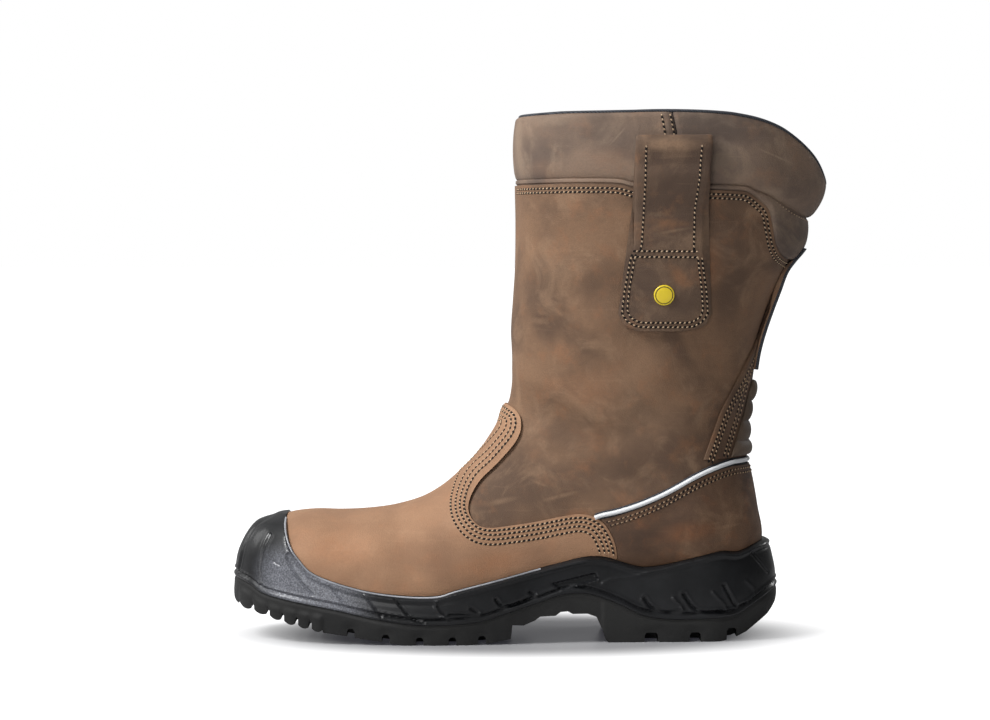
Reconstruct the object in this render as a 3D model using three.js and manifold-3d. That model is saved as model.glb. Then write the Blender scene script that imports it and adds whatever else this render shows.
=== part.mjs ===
// Pull-on work boot, left foot, standing on its sole. Millimetres, up is +Z.
// The toe points to -X, the wearer's left (the outer side of the foot) is -Y.

import * as THREE from "three";
import { mergeVertices } from "three/addons/utils/BufferGeometryUtils.js";
import Module from "manifold-3d";

const wasm = await Module();
wasm.setup();

// Named sizes
const SOLE_LENGTH = 308;
const BOOT_HEIGHT = 300;
const BALL_WIDTH = 110;
const TOE_CURL = 20;
const CLEARANCE = 0.3;
const WALL = 2.4;
const OVERLAY = 1.8;
const INSOLE_THICKNESS = 4;
const STRAP_THICKNESS = 2;
const PIPING_RADIUS = 1.25;
const SLOT_DEPTH = 1.6;
const TREAD_DEPTH = 4;
const BADGE_RADIUS = 5.7;
const BADGE_THICKNESS = 0.8;
const COLLAR_TUCK = 10;
const COLLAR_REACH = 14;
const SIDE_REACH = 90;
const LOOP_POINTS = 22;
const EASING = 0.17;
const LATERAL = 1;
const MEDIAL = -1;

// The boot's own form: one row for each section, from the toe over the instep to the collar.
// A section is a closed loop in the plane through its front point and its back point.
// along counts from the toe in sole lengths, up in boot heights, half widths in ball widths.
// wide says where between front and back the section is widest, the rounds are its exponents.
const FORM = [
  { fa: 0.023, fu: 0.150, ba: 0.023, bu: 0.127, lateral: 0.027, medial: 0.027, wide: 0.55, fr: 2.2, br: 2.4 },
  { fa: 0.025, fu: 0.163, ba: 0.025, bu: 0.113, lateral: 0.109, medial: 0.118, wide: 0.60, fr: 2.2, br: 2.6 },
  { fa: 0.034, fu: 0.177, ba: 0.034, bu: 0.100, lateral: 0.172, medial: 0.204, wide: 0.62, fr: 2.2, br: 2.8 },
  { fa: 0.049, fu: 0.190, ba: 0.049, bu: 0.092, lateral: 0.232, medial: 0.275, wide: 0.64, fr: 2.2, br: 2.9 },
  { fa: 0.071, fu: 0.208, ba: 0.071, bu: 0.083, lateral: 0.290, medial: 0.336, wide: 0.66, fr: 2.2, br: 3.0 },
  { fa: 0.104, fu: 0.224, ba: 0.104, bu: 0.073, lateral: 0.345, medial: 0.378, wide: 0.66, fr: 2.2, br: 3.0 },
  { fa: 0.149, fu: 0.230, ba: 0.149, bu: 0.063, lateral: 0.392, medial: 0.407, wide: 0.66, fr: 2.2, br: 3.0 },
  { fa: 0.201, fu: 0.230, ba: 0.201, bu: 0.055, lateral: 0.426, medial: 0.426, wide: 0.66, fr: 2.2, br: 3.0 },
  { fa: 0.253, fu: 0.232, ba: 0.253, bu: 0.047, lateral: 0.445, medial: 0.436, wide: 0.66, fr: 2.2, br: 3.0 },
  { fa: 0.305, fu: 0.241, ba: 0.312, bu: 0.040, lateral: 0.450, medial: 0.432, wide: 0.66, fr: 2.1, br: 3.0 },
  { fa: 0.351, fu: 0.255, ba: 0.377, bu: 0.038, lateral: 0.445, medial: 0.414, wide: 0.66, fr: 2.1, br: 3.0 },
  { fa: 0.390, fu: 0.279, ba: 0.448, bu: 0.043, lateral: 0.432, medial: 0.391, wide: 0.66, fr: 2.1, br: 3.0 },
  { fa: 0.422, fu: 0.307, ba: 0.526, bu: 0.060, lateral: 0.400, medial: 0.352, wide: 0.65, fr: 2.0, br: 2.9 },
  { fa: 0.451, fu: 0.337, ba: 0.604, bu: 0.083, lateral: 0.374, medial: 0.330, wide: 0.64, fr: 2.0, br: 2.8 },
  { fa: 0.473, fu: 0.368, ba: 0.682, bu: 0.095, lateral: 0.358, medial: 0.322, wide: 0.63, fr: 2.0, br: 2.7 },
  { fa: 0.490, fu: 0.397, ba: 0.760, bu: 0.098, lateral: 0.352, medial: 0.326, wide: 0.62, fr: 2.0, br: 2.6 },
  { fa: 0.498, fu: 0.423, ba: 0.838, bu: 0.100, lateral: 0.352, medial: 0.337, wide: 0.60, fr: 2.0, br: 2.5 },
  { fa: 0.507, fu: 0.443, ba: 0.909, bu: 0.103, lateral: 0.358, medial: 0.350, wide: 0.58, fr: 2.1, br: 2.4 },
  { fa: 0.511, fu: 0.462, ba: 0.956, bu: 0.137, lateral: 0.366, medial: 0.364, wide: 0.56, fr: 2.1, br: 2.3 },
  { fa: 0.513, fu: 0.482, ba: 0.968, bu: 0.190, lateral: 0.376, medial: 0.376, wide: 0.54, fr: 2.1, br: 2.2 },
  { fa: 0.513, fu: 0.503, ba: 0.960, bu: 0.243, lateral: 0.386, medial: 0.386, wide: 0.52, fr: 2.2, br: 2.2 },
  { fa: 0.513, fu: 0.527, ba: 0.950, bu: 0.300, lateral: 0.391, medial: 0.391, wide: 0.51, fr: 2.2, br: 2.2 },
  { fa: 0.512, fu: 0.550, ba: 0.937, bu: 0.357, lateral: 0.395, medial: 0.395, wide: 0.50, fr: 2.2, br: 2.2 },
  { fa: 0.511, fu: 0.573, ba: 0.936, bu: 0.413, lateral: 0.402, medial: 0.402, wide: 0.50, fr: 2.2, br: 2.2 },
  { fa: 0.512, fu: 0.600, ba: 0.948, bu: 0.477, lateral: 0.411, medial: 0.411, wide: 0.50, fr: 2.2, br: 2.2 },
  { fa: 0.514, fu: 0.627, ba: 0.959, bu: 0.547, lateral: 0.425, medial: 0.425, wide: 0.50, fr: 2.2, br: 2.2 },
  { fa: 0.516, fu: 0.657, ba: 0.982, bu: 0.620, lateral: 0.441, medial: 0.441, wide: 0.50, fr: 2.2, br: 2.2 },
  { fa: 0.518, fu: 0.690, ba: 1.011, bu: 0.690, lateral: 0.459, medial: 0.459, wide: 0.50, fr: 2.3, br: 2.2 },
  { fa: 0.519, fu: 0.740, ba: 1.041, bu: 0.740, lateral: 0.477, medial: 0.477, wide: 0.50, fr: 2.3, br: 2.2 },
  { fa: 0.519, fu: 0.790, ba: 1.049, bu: 0.790, lateral: 0.491, medial: 0.491, wide: 0.50, fr: 2.3, br: 2.2 },
  { fa: 0.518, fu: 0.840, ba: 1.060, bu: 0.840, lateral: 0.500, medial: 0.500, wide: 0.50, fr: 2.3, br: 2.2 },
  { fa: 0.518, fu: 0.890, ba: 1.063, bu: 0.890, lateral: 0.505, medial: 0.505, wide: 0.50, fr: 2.3, br: 2.2 },
  { fa: 0.518, fu: 0.940, ba: 1.052, bu: 0.940, lateral: 0.505, medial: 0.505, wide: 0.50, fr: 2.3, br: 2.2 },
  { fa: 0.521, fu: 0.990, ba: 1.032, bu: 0.990, lateral: 0.500, medial: 0.500, wide: 0.50, fr: 2.3, br: 2.2 },
  { fa: 0.526, fu: 1.040, ba: 1.019, bu: 1.040, lateral: 0.500, medial: 0.500, wide: 0.50, fr: 2.3, br: 2.2 },
];
const LAST_ROW = FORM.length - 1;
const INSTEP_ROW = 12;
const HEEL_ROW = 19;
const ANKLE_ROW = 24;
const FIRST_LEVEL_ROW = 27;

// Plan of the sole: half widths in ball widths.
const OUTLINE = [
  { along: 0.000, lateral: 0.030, medial: 0.110 },
  { along: 0.012, lateral: 0.140, medial: 0.215 },
  { along: 0.040, lateral: 0.262, medial: 0.320 },
  { along: 0.090, lateral: 0.374, medial: 0.395 },
  { along: 0.160, lateral: 0.449, medial: 0.445 },
  { along: 0.240, lateral: 0.487, medial: 0.473 },
  { along: 0.320, lateral: 0.509, medial: 0.480 },
  { along: 0.400, lateral: 0.507, medial: 0.458 },
  { along: 0.500, lateral: 0.465, medial: 0.405 },
  { along: 0.580, lateral: 0.424, medial: 0.370 },
  { along: 0.660, lateral: 0.395, medial: 0.360 },
  { along: 0.740, lateral: 0.379, medial: 0.361 },
  { along: 0.820, lateral: 0.371, medial: 0.365 },
  { along: 0.900, lateral: 0.345, medial: 0.345 },
  { along: 0.955, lateral: 0.265, medial: 0.270 },
  { along: 0.988, lateral: 0.160, medial: 0.165 },
  { along: 1.000, lateral: 0.050, medial: 0.055 },
];

// How far the side wall of the sole stands in from its plan at each height, in toe curls.
const SIDE_WALL = [
  { up: -0.005, side: 0.15, toe: 0.40, heel: 0.35 },
  { up: 0.027, side: 0.06, toe: 0.20, heel: 0.22 },
  { up: 0.053, side: 0.02, toe: 0.07, heel: 0.08 },
  { up: 0.077, side: 0.00, toe: 0.00, heel: 0.00 },
  { up: 0.100, side: 0.02, toe: 0.01, heel: 0.01 },
  { up: 0.127, side: 0.07, toe: 0.04, heel: 0.04 },
  { up: 0.153, side: 0.10, toe: 0.10, heel: 0.12 },
  { up: 0.173, side: 0.13, toe: 0.21, heel: 0.20 },
  { up: 0.193, side: 0.16, toe: 0.37, heel: 0.33 },
  { up: 0.207, side: 0.20, toe: 0.53, heel: 0.45 },
  { up: 0.217, side: 0.30, toe: 0.72, heel: 0.60 },
  { up: 0.231, side: 0.44, toe: 1.30, heel: 0.92 },
];

// Lines seen from the side, along in sole lengths and up in boot heights.
const FEATHER_LINE = [
  { along: 0.099, up: 0.260 },
  { along: 0.099, up: 0.220 },
  { along: 0.103, up: 0.198 },
  { along: 0.112, up: 0.175 },
  { along: 0.128, up: 0.154 },
  { along: 0.146, up: 0.135 },
  { along: 0.172, up: 0.122 },
  { along: 0.244, up: 0.101 },
  { along: 0.299, up: 0.093 },
  { along: 0.351, up: 0.090 },
  { along: 0.383, up: 0.092 },
  { along: 0.408, up: 0.100 },
  { along: 0.492, up: 0.121 },
  { along: 0.602, up: 0.150 },
  { along: 0.648, up: 0.160 },
  { along: 0.680, up: 0.159 },
  { along: 0.704, up: 0.152 },
  { along: 0.754, up: 0.139 },
  { along: 0.861, up: 0.161 },
  { along: 0.894, up: 0.168 },
  { along: 0.924, up: 0.166 },
  { along: 0.963, up: 0.180 },
  { along: 1.030, up: 0.193 },
];
const TREAD_LINE = [
  { along: -0.030, up: 0.120 },
  { along: 0.034, up: 0.105 },
  { along: 0.056, up: 0.092 },
  { along: 0.108, up: 0.080 },
  { along: 0.194, up: 0.065 },
  { along: 0.272, up: 0.048 },
  { along: 0.351, up: 0.038 },
  { along: 0.455, up: 0.044 },
  { along: 0.492, up: 0.055 },
  { along: 0.565, up: 0.079 },
  { along: 0.602, up: 0.091 },
  { along: 0.635, up: 0.094 },
  { along: 0.657, up: 0.091 },
  { along: 0.707, up: 0.072 },
  { along: 0.747, up: 0.052 },
  { along: 0.791, up: 0.044 },
  { along: 0.860, up: 0.044 },
  { along: 0.919, up: 0.049 },
  { along: 0.955, up: 0.070 },
  { along: 0.993, up: 0.093 },
  { along: 1.030, up: 0.110 },
];
const GROUND_LINE = [
  { along: -0.030, up: 0.098 },
  { along: 0.006, up: 0.065 },
  { along: 0.023, up: 0.058 },
  { along: 0.062, up: 0.049 },
  { along: 0.112, up: 0.034 },
  { along: 0.166, up: 0.022 },
  { along: 0.200, up: 0.018 },
  { along: 0.260, up: 0.009 },
  { along: 0.299, up: 0.003 },
  { along: 0.325, up: 0.000 },
  { along: 0.438, up: 0.000 },
  { along: 0.474, up: 0.003 },
  { along: 0.510, up: 0.010 },
  { along: 0.513, up: 0.036 },
  { along: 0.533, up: 0.035 },
  { along: 0.554, up: 0.044 },
  { along: 0.563, up: 0.051 },
  { along: 0.591, up: 0.052 },
  { along: 0.600, up: 0.059 },
  { along: 0.613, up: 0.060 },
  { along: 0.622, up: 0.055 },
  { along: 0.649, up: 0.055 },
  { along: 0.665, up: 0.049 },
  { along: 0.675, up: 0.027 },
  { along: 0.682, up: 0.005 },
  { along: 0.688, up: 0.000 },
  { along: 0.890, up: 0.000 },
  { along: 0.914, up: 0.004 },
  { along: 0.940, up: 0.015 },
  { along: 0.981, up: 0.045 },
  { along: 0.994, up: 0.061 },
  { along: 1.030, up: 0.102 },
];
const FOOTBED_LINE = [
  { along: -0.030, up: 0.121 },
  { along: 0.045, up: 0.110 },
  { along: 0.110, up: 0.097 },
  { along: 0.195, up: 0.082 },
  { along: 0.273, up: 0.068 },
  { along: 0.351, up: 0.060 },
  { along: 0.455, up: 0.070 },
  { along: 0.565, up: 0.097 },
  { along: 0.633, up: 0.112 },
  { along: 0.708, up: 0.117 },
  { along: 0.792, up: 0.120 },
  { along: 0.922, up: 0.123 },
  { along: 1.030, up: 0.128 },
];
const SHAFT_EDGE = [
  { along: 0.400, up: 0.848 },
  { along: 0.514, up: 0.849 },
  { along: 0.627, up: 0.851 },
  { along: 0.706, up: 0.849 },
  { along: 0.733, up: 0.842 },
  { along: 0.857, up: 0.840 },
  { along: 0.912, up: 0.838 },
  { along: 0.935, up: 0.835 },
  { along: 0.959, up: 0.818 },
  { along: 0.974, up: 0.803 },
  { along: 0.982, up: 0.770 },
  { along: 0.989, up: 0.739 },
  { along: 1.000, up: 0.721 },
  { along: 1.019, up: 0.711 },
  { along: 1.033, up: 0.717 },
  { along: 1.047, up: 0.741 },
  { along: 1.084, up: 0.800 },
];
const RIM_LINE = [
  { along: 0.400, up: 0.983 },
  { along: 0.524, up: 0.987 },
  { along: 0.662, up: 0.993 },
  { along: 0.786, up: 0.998 },
  { along: 0.890, up: 0.995 },
  { along: 0.945, up: 0.987 },
  { along: 0.981, up: 0.975 },
  { along: 1.013, up: 0.957 },
  { along: 1.039, up: 0.937 },
  { along: 1.062, up: 0.913 },
  { along: 1.081, up: 0.887 },
  { along: 1.097, up: 0.853 },
  { along: 1.117, up: 0.800 },
];
const PUFF_SEAM = [
  { along: 0.400, up: 0.857 },
  { along: 0.912, up: 0.846 },
  { along: 0.963, up: 0.834 },
  { along: 1.000, up: 0.817 },
  { along: 1.026, up: 0.802 },
  { along: 1.060, up: 0.788 },
  { along: 1.117, up: 0.770 },
];
const VAMP_EDGE = [
  { along: 0.403, up: 0.443 },
  { along: 0.503, up: 0.438 },
  { along: 0.525, up: 0.421 },
  { along: 0.529, up: 0.398 },
  { along: 0.521, up: 0.374 },
  { along: 0.489, up: 0.334 },
  { along: 0.453, up: 0.297 },
  { along: 0.437, up: 0.269 },
  { along: 0.433, up: 0.248 },
  { along: 0.440, up: 0.230 },
  { along: 0.455, up: 0.217 },
  { along: 0.472, up: 0.214 },
  { along: 0.510, up: 0.218 },
  { along: 0.561, up: 0.226 },
  { along: 0.599, up: 0.234 },
  { along: 0.632, up: 0.239 },
  { along: 0.655, up: 0.236 },
  { along: 0.678, up: 0.222 },
  { along: 0.692, up: 0.200 },
  { along: 0.700, up: 0.178 },
  { along: 0.703, up: 0.156 },
  { along: 0.703, up: 0.100 },
];
const PIPING_LINE = [
  { along: 0.674, up: 0.237 },
  { along: 0.700, up: 0.243 },
  { along: 0.749, up: 0.260 },
  { along: 0.790, up: 0.279 },
  { along: 0.839, up: 0.307 },
  { along: 0.868, up: 0.320 },
  { along: 0.899, up: 0.330 },
  { along: 0.915, up: 0.333 },
];

// Rear panel: its front edge at each height.
const REAR_PANEL = [
  { up: 0.350, along: 0.862 },
  { up: 0.393, along: 0.877 },
  { up: 0.430, along: 0.890 },
  { up: 0.465, along: 0.908 },
  { up: 0.494, along: 0.924 },
  { up: 0.523, along: 0.939 },
  { up: 0.562, along: 0.960 },
  { up: 0.602, along: 0.975 },
  { up: 0.650, along: 0.990 },
];

// Back pad: its front edge and how far its ribs stand out, in overlays.
const BACK_PAD = [
  { up: 0.351, along: 0.908, rib: 0.7 },
  { up: 0.358, along: 0.911, rib: 2.0 },
  { up: 0.367, along: 0.914, rib: 1.0 },
  { up: 0.387, along: 0.919, rib: 2.0 },
  { up: 0.404, along: 0.924, rib: 0.9 },
  { up: 0.430, along: 0.932, rib: 2.1 },
  { up: 0.445, along: 0.936, rib: 1.0 },
  { up: 0.469, along: 0.941, rib: 2.1 },
  { up: 0.484, along: 0.946, rib: 0.7 },
];

// Back strip: how far its middle stands off the form, in strap thicknesses.
const BACK_STRIP = [
  { row: 24.4, lift: 1.75 },
  { row: 25.2, lift: 1.75 },
  { row: 26.0, lift: 1.70 },
  { row: 26.5, lift: 1.60 },
  { row: 27.0, lift: 1.20 },
  { row: 27.5, lift: 1.40 },
  { row: 27.95, lift: 2.00 },
];

// Pull loop: the strap's path up the outside and down behind itself, and its edges.
const STRAP_PATH = [
  { up: 0.581, lift: 0.65 },
  { up: 0.593, lift: 0.65 },
  { up: 0.613, lift: 0.65 },
  { up: 0.657, lift: 0.65 },
  { up: 0.710, lift: 0.65 },
  { up: 0.750, lift: 0.70 },
  { up: 0.800, lift: 1.10 },
  { up: 0.833, lift: 2.20 },
  { up: 0.867, lift: 3.35 },
  { up: 0.907, lift: 3.65 },
  { up: 0.927, lift: 3.60 },
  { up: 0.936, lift: 2.95 },
  { up: 0.927, lift: 2.30 },
  { up: 0.907, lift: 2.25 },
  { up: 0.870, lift: 2.25 },
];
const STRAP_EDGES = [
  { up: 0.581, front: 0.735, back: 0.820 },
  { up: 0.593, front: 0.715, back: 0.858 },
  { up: 0.613, front: 0.703, back: 0.869 },
  { up: 0.657, front: 0.708, back: 0.865 },
  { up: 0.710, front: 0.718, back: 0.857 },
  { up: 0.740, front: 0.727, back: 0.854 },
  { up: 0.807, front: 0.731, back: 0.854 },
  { up: 0.860, front: 0.733, back: 0.861 },
  { up: 0.940, front: 0.734, back: 0.866 },
];
const STRAP_STATIONS = 5;

// Recesses in the side of the sole, four corners each.
const SIDE_SLOTS = [
  [[0.581, 0.114], [0.663, 0.128], [0.667, 0.119], [0.592, 0.102]],
  [[0.484, 0.086], [0.549, 0.097], [0.550, 0.085], [0.497, 0.070]],
  [[0.410, 0.078], [0.448, 0.083], [0.450, 0.064], [0.420, 0.058]],
  [[0.752, 0.081], [0.818, 0.083], [0.812, 0.058], [0.758, 0.058]],
  [[0.826, 0.085], [0.896, 0.090], [0.888, 0.060], [0.832, 0.058]],
  [[0.900, 0.106], [0.952, 0.116], [0.944, 0.078], [0.904, 0.066]],
];

// Grooves across the tread: where, how wide and how high they reach.
const GROOVES = [
  { along: 0.040, width: 0.009, up: 0.068 },
  { along: 0.070, width: 0.009, up: 0.061 },
  { along: 0.097, width: 0.009, up: 0.054 },
  { along: 0.123, width: 0.009, up: 0.047 },
  { along: 0.148, width: 0.010, up: 0.042 },
  { along: 0.222, width: 0.014, up: 0.030 },
  { along: 0.285, width: 0.014, up: 0.020 },
  { along: 0.346, width: 0.014, up: 0.015 },
  { along: 0.405, width: 0.014, up: 0.015 },
  { along: 0.458, width: 0.014, up: 0.017 },
  { along: 0.765, width: 0.024, up: 0.018 },
  { along: 0.845, width: 0.020, up: 0.018 },
  { along: 0.912, width: 0.018, up: 0.024 },
];

// Shared workings

function alongX(share) {
  return SOLE_LENGTH * (share - 0.5);
}

function upZ(share) {
  return BOOT_HEIGHT * share;
}

function mix(from, to, share) {
  return from + (to - from) * share;
}

function eased(from, to, value) {
  const share = Math.min(1, Math.max(0, (value - from) / (to - from)));
  return share * share * (3 - 2 * share);
}

function linePoints(table) {
  return table.map((row) => new THREE.Vector2(alongX(row.along), upZ(row.up)));
}

function smoothLine(table, spans = 3) {
  const curve = new THREE.SplineCurve(linePoints(table));
  return curve.getPoints((table.length - 1) * spans);
}

function heightOn(line, x) {
  let place = 0;
  while (place < line.length - 2 && line[place + 1].x < x) {
    place += 1;
  }
  const from = line[place];
  const to = line[place + 1];
  const share = (x - from.x) / (to.x - from.x);
  return mix(from.y, to.y, Math.min(1, Math.max(0, share)));
}

function columnAt(table, key, column, value) {
  let place = 0;
  while (place < table.length - 2 && table[place + 1][key] < value) {
    place += 1;
  }
  const from = table[place];
  const to = table[place + 1];
  const share = Math.min(1, Math.max(0, (value - from[key]) / (to[key] - from[key])));
  return mix(from[column], to[column], share);
}

function solveRising(low, high, rising) {
  for (let step = 0; step < 40; step += 1) {
    const middle = (low + high) / 2;
    if (rising(middle) > 0) {
      high = middle;
    } else {
      low = middle;
    }
  }
  return (low + high) / 2;
}

function signedVolume(positions, index) {
  let total = 0;
  const a = new THREE.Vector3();
  const b = new THREE.Vector3();
  const c = new THREE.Vector3();
  for (let i = 0; i < index.length; i += 3) {
    a.fromArray(positions, index[i] * 3);
    b.fromArray(positions, index[i + 1] * 3);
    c.fromArray(positions, index[i + 2] * 3);
    total += a.dot(b.cross(c));
  }
  return total;
}

function toSolid(geometry) {
  const bare = new THREE.BufferGeometry();
  bare.setAttribute("position", geometry.attributes.position);
  bare.setIndex(geometry.index);
  const merged = mergeVertices(bare, 1e-4);
  const index = Array.from(merged.index.array);
  if (signedVolume(merged.attributes.position.array, index) < 0) {
    index.reverse();
  }
  const kept = [];
  for (let i = 0; i < index.length; i += 3) {
    const [a, b, c] = index.slice(i, i + 3);
    if (a !== b && b !== c && c !== a) {
      kept.push(a, b, c);
    }
  }
  return new wasm.Manifold(new wasm.Mesh({
    numProp: 3,
    vertProperties: merged.attributes.position.array,
    triVerts: Uint32Array.from(kept),
  }));
}

function toGeometry(solid) {
  const mesh = solid.simplify(EASING).getMesh();
  const geometry = new THREE.BufferGeometry();
  geometry.setAttribute("position", new THREE.BufferAttribute(mesh.vertProperties, 3));
  geometry.setIndex(new THREE.BufferAttribute(mesh.triVerts, 1));
  geometry.computeVertexNormals();
  return geometry;
}

// A skin through closed rings of equal length, either ended by flat fans or joined round.
function loft(rings, round = false) {
  const count = rings[0].length;
  const positions = [];
  const index = [];
  for (const ring of rings) {
    for (const point of ring) {
      positions.push(point.x, point.y, point.z);
    }
  }
  const spans = round ? rings.length : rings.length - 1;
  for (let i = 0; i < spans; i += 1) {
    const here = i * count;
    const next = ((i + 1) % rings.length) * count;
    for (let j = 0; j < count; j += 1) {
      const k = (j + 1) % count;
      index.push(here + j, here + k, next + k);
      index.push(here + j, next + k, next + j);
    }
  }
  if (!round) {
    for (const [start, flip] of [[0, true], [(rings.length - 1) * count, false]]) {
      const centre = new THREE.Vector3();
      const ring = rings[start / count];
      ring.forEach((point) => centre.addScaledVector(point, 1 / count));
      const middle = positions.length / 3;
      positions.push(centre.x, centre.y, centre.z);
      for (let j = 0; j < count; j += 1) {
        const k = (j + 1) % count;
        index.push(middle, start + (flip ? k : j), start + (flip ? j : k));
      }
    }
  }
  const geometry = new THREE.BufferGeometry();
  geometry.setAttribute("position", new THREE.Float32BufferAttribute(positions, 3));
  geometry.setIndex(index);
  return toSolid(geometry);
}

// A side view outline carried straight across the boot.
function acrossSolid(points, from = -SIDE_REACH, to = SIDE_REACH) {
  const shape = new THREE.Shape(points.map((point) => new THREE.Vector2(point.x, point.y)));
  const geometry = new THREE.ExtrudeGeometry(shape, { depth: to - from, bevelEnabled: false });
  geometry.rotateX(Math.PI / 2);
  geometry.translate(0, to, 0);
  return toSolid(geometry);
}

function raised(line, by) {
  return line.map((point) => new THREE.Vector2(point.x, point.y + by));
}

function between(lower, upper) {
  return acrossSolid([...lower, ...[...upper].reverse()]);
}

function levelLine(height) {
  return [
    new THREE.Vector2(-2 * SOLE_LENGTH, height),
    new THREE.Vector2(2 * SOLE_LENGTH, height),
  ];
}

// The form as a function of row and turn: turn 0 is the front, a quarter the lateral side.

function rowAt(at) {
  const low = Math.max(0, Math.min(Math.floor(at), LAST_ROW - 1));
  const t = at - low;
  const rows = [low - 1, low, low + 1, low + 2].map(
    (place) => FORM[Math.max(0, Math.min(LAST_ROW, place))],
  );
  const found = {};
  for (const column of Object.keys(FORM[0])) {
    const [a, b, c, d] = rows.map((row) => row[column]);
    const rise = (c - a) / 2;
    const end = (d - b) / 2;
    found[column] = b + rise * t + (3 * (c - b) - 2 * rise - end) * t ** 2
      + (2 * (b - c) + rise + end) * t ** 3;
  }
  return {
    front: new THREE.Vector2(alongX(found.fa), upZ(found.fu)),
    back: new THREE.Vector2(alongX(found.ba), upZ(found.bu)),
    lateral: BALL_WIDTH * found.lateral,
    medial: BALL_WIDTH * found.medial,
    wide: found.wide,
    frontRound: found.fr,
    backRound: found.br,
  };
}

function formPoint(at, turn) {
  const row = rowAt(at);
  const whole = ((turn % (2 * Math.PI)) + 2 * Math.PI) % (2 * Math.PI);
  const medialSide = whole > Math.PI;
  const angle = medialSide ? 2 * Math.PI - whole : whole;
  const level = Math.abs(Math.cos(angle));
  const round = angle < Math.PI / 2 ? row.frontRound : row.backRound;
  const reach = level ** (2 / round);
  const share = angle < Math.PI / 2 ? row.wide * (1 - reach) : mix(row.wide, 1, reach);
  const across = Math.sin(angle) ** (2 / round);
  const side = medialSide ? row.medial * across : -row.lateral * across;
  return new THREE.Vector3(
    mix(row.front.x, row.back.x, share),
    side,
    mix(row.front.y, row.back.y, share),
  );
}

function skin(at, turn, off = 0) {
  const point = formPoint(at, turn);
  const step = 0.05;
  const low = Math.max(0, at - step);
  const high = Math.min(LAST_ROW, at + step);
  const alongRows = formPoint(high, turn).sub(formPoint(low, turn));
  const alongTurn = formPoint(at, turn + step).sub(formPoint(at, turn - step));
  const outward = alongTurn.cross(alongRows).normalize();
  return point.addScaledVector(outward, off);
}

function formSolid(first, last, off) {
  const rings = [];
  for (let at = first; at <= last; at += 1) {
    const ring = [];
    for (let i = 0; i < LOOP_POINTS; i += 1) {
      ring.push(skin(at, (i * 2 * Math.PI) / LOOP_POINTS, off));
    }
    rings.push(ring);
  }
  return loft(rings);
}

// The place on the form of a point seen from the side.
function placeFor(x, z) {
  const at = solveRising(0, LAST_ROW, (tried) => -sideOfRow(tried, x, z));
  const row = rowAt(at);
  const line = row.back.clone().sub(row.front);
  const share = new THREE.Vector2(x, z).sub(row.front).dot(line) / line.lengthSq();
  const held = Math.min(0.999, Math.max(0.001, share));
  const turn = held < row.wide
    ? Math.acos((1 - held / row.wide) ** (row.frontRound / 2))
    : Math.PI - Math.acos(((held - row.wide) / (1 - row.wide)) ** (row.backRound / 2));
  return { at, turn };
}

function sideOfRow(at, x, z) {
  const row = rowAt(at);
  const line = row.back.clone().sub(row.front);
  const reach = new THREE.Vector2(x, z).sub(row.front);
  return line.cross(reach);
}

function onSide(x, z, side, off) {
  const place = placeFor(x, z);
  return skin(place.at, side === LATERAL ? place.turn : -place.turn, off);
}

// The place at a given height and turn, for what wraps round the shaft.
function atLevel(z, turn, off) {
  const at = solveRising(INSTEP_ROW, LAST_ROW, (tried) => formPoint(tried, turn).z - z);
  return skin(at, turn, off);
}

// Sole

const featherLine = smoothLine(FEATHER_LINE, 2);
const treadLine = smoothLine(TREAD_LINE, 2);
const groundLine = linePoints(GROUND_LINE);
const footbedLine = smoothLine(FOOTBED_LINE, 2);

function soleOutline() {
  const lateral = OUTLINE.map((row) => new THREE.Vector3(
    alongX(row.along), -BALL_WIDTH * row.lateral, 0));
  const medial = OUTLINE.map((row) => new THREE.Vector3(
    alongX(row.along), BALL_WIDTH * row.medial, 0));
  const curve = new THREE.CatmullRomCurve3([...lateral, ...medial.reverse()], true);
  return curve.getPoints(48).slice(0, -1);
}

const outline = soleOutline();

function soleRing(row, extra) {
  return outline.map((point, i) => {
    const before = outline[(i + outline.length - 1) % outline.length];
    const after = outline[(i + 1) % outline.length];
    const tangent = after.clone().sub(before).normalize();
    const along = point.x / SOLE_LENGTH + 0.5;
    const toe = 1 - eased(0.05, 0.26, along);
    const heel = eased(0.86, 0.97, along);
    const inset = TOE_CURL * (row.side * (1 - toe - heel) + row.toe * toe + row.heel * heel) + extra;
    return new THREE.Vector3(point.x - tangent.y * inset, point.y + tangent.x * inset, upZ(row.up));
  });
}

function soleBody(extra = 0) {
  return loft(SIDE_WALL.map((row) => soleRing(row, extra)));
}

const body = soleBody();
const slimBody = soleBody(SLOT_DEPTH);

function makeMidsole() {
  const aheadOfToe = new THREE.Vector2(treadLine[0].x, featherLine[0].y);
  const kept = between(raised(treadLine, CLEARANCE / 2), [aheadOfToe, ...featherLine]);
  const cup = formSolid(0, ANKLE_ROW, CLEARANCE)
    .intersect(between(raised(footbedLine, -CLEARANCE), levelLine(BOOT_HEIGHT)));
  let midsole = body.intersect(kept).subtract(cup);
  for (const corners of SIDE_SLOTS) {
    const slot = acrossSolid(corners.map(([along, up]) => new THREE.Vector2(alongX(along), upZ(up))));
    midsole = midsole.subtract(slot.subtract(slimBody));
  }
  return midsole;
}

function makeOutsole() {
  let outsole = body.intersect(between(groundLine, raised(treadLine, -CLEARANCE / 2)));
  for (const groove of GROOVES) {
    const from = alongX(groove.along - groove.width / 2);
    const to = alongX(groove.along + groove.width / 2);
    const top = upZ(groove.up);
    outsole = outsole.subtract(acrossSolid([
      new THREE.Vector2(from, -TREAD_DEPTH),
      new THREE.Vector2(to, -TREAD_DEPTH),
      new THREE.Vector2(to, top),
      new THREE.Vector2(from, top),
    ]));
  }
  return outsole;
}

// Upper and what is sewn on it

const shaftEdge = smoothLine(SHAFT_EDGE);
const vampEdge = smoothLine(VAMP_EDGE, 2);

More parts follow.
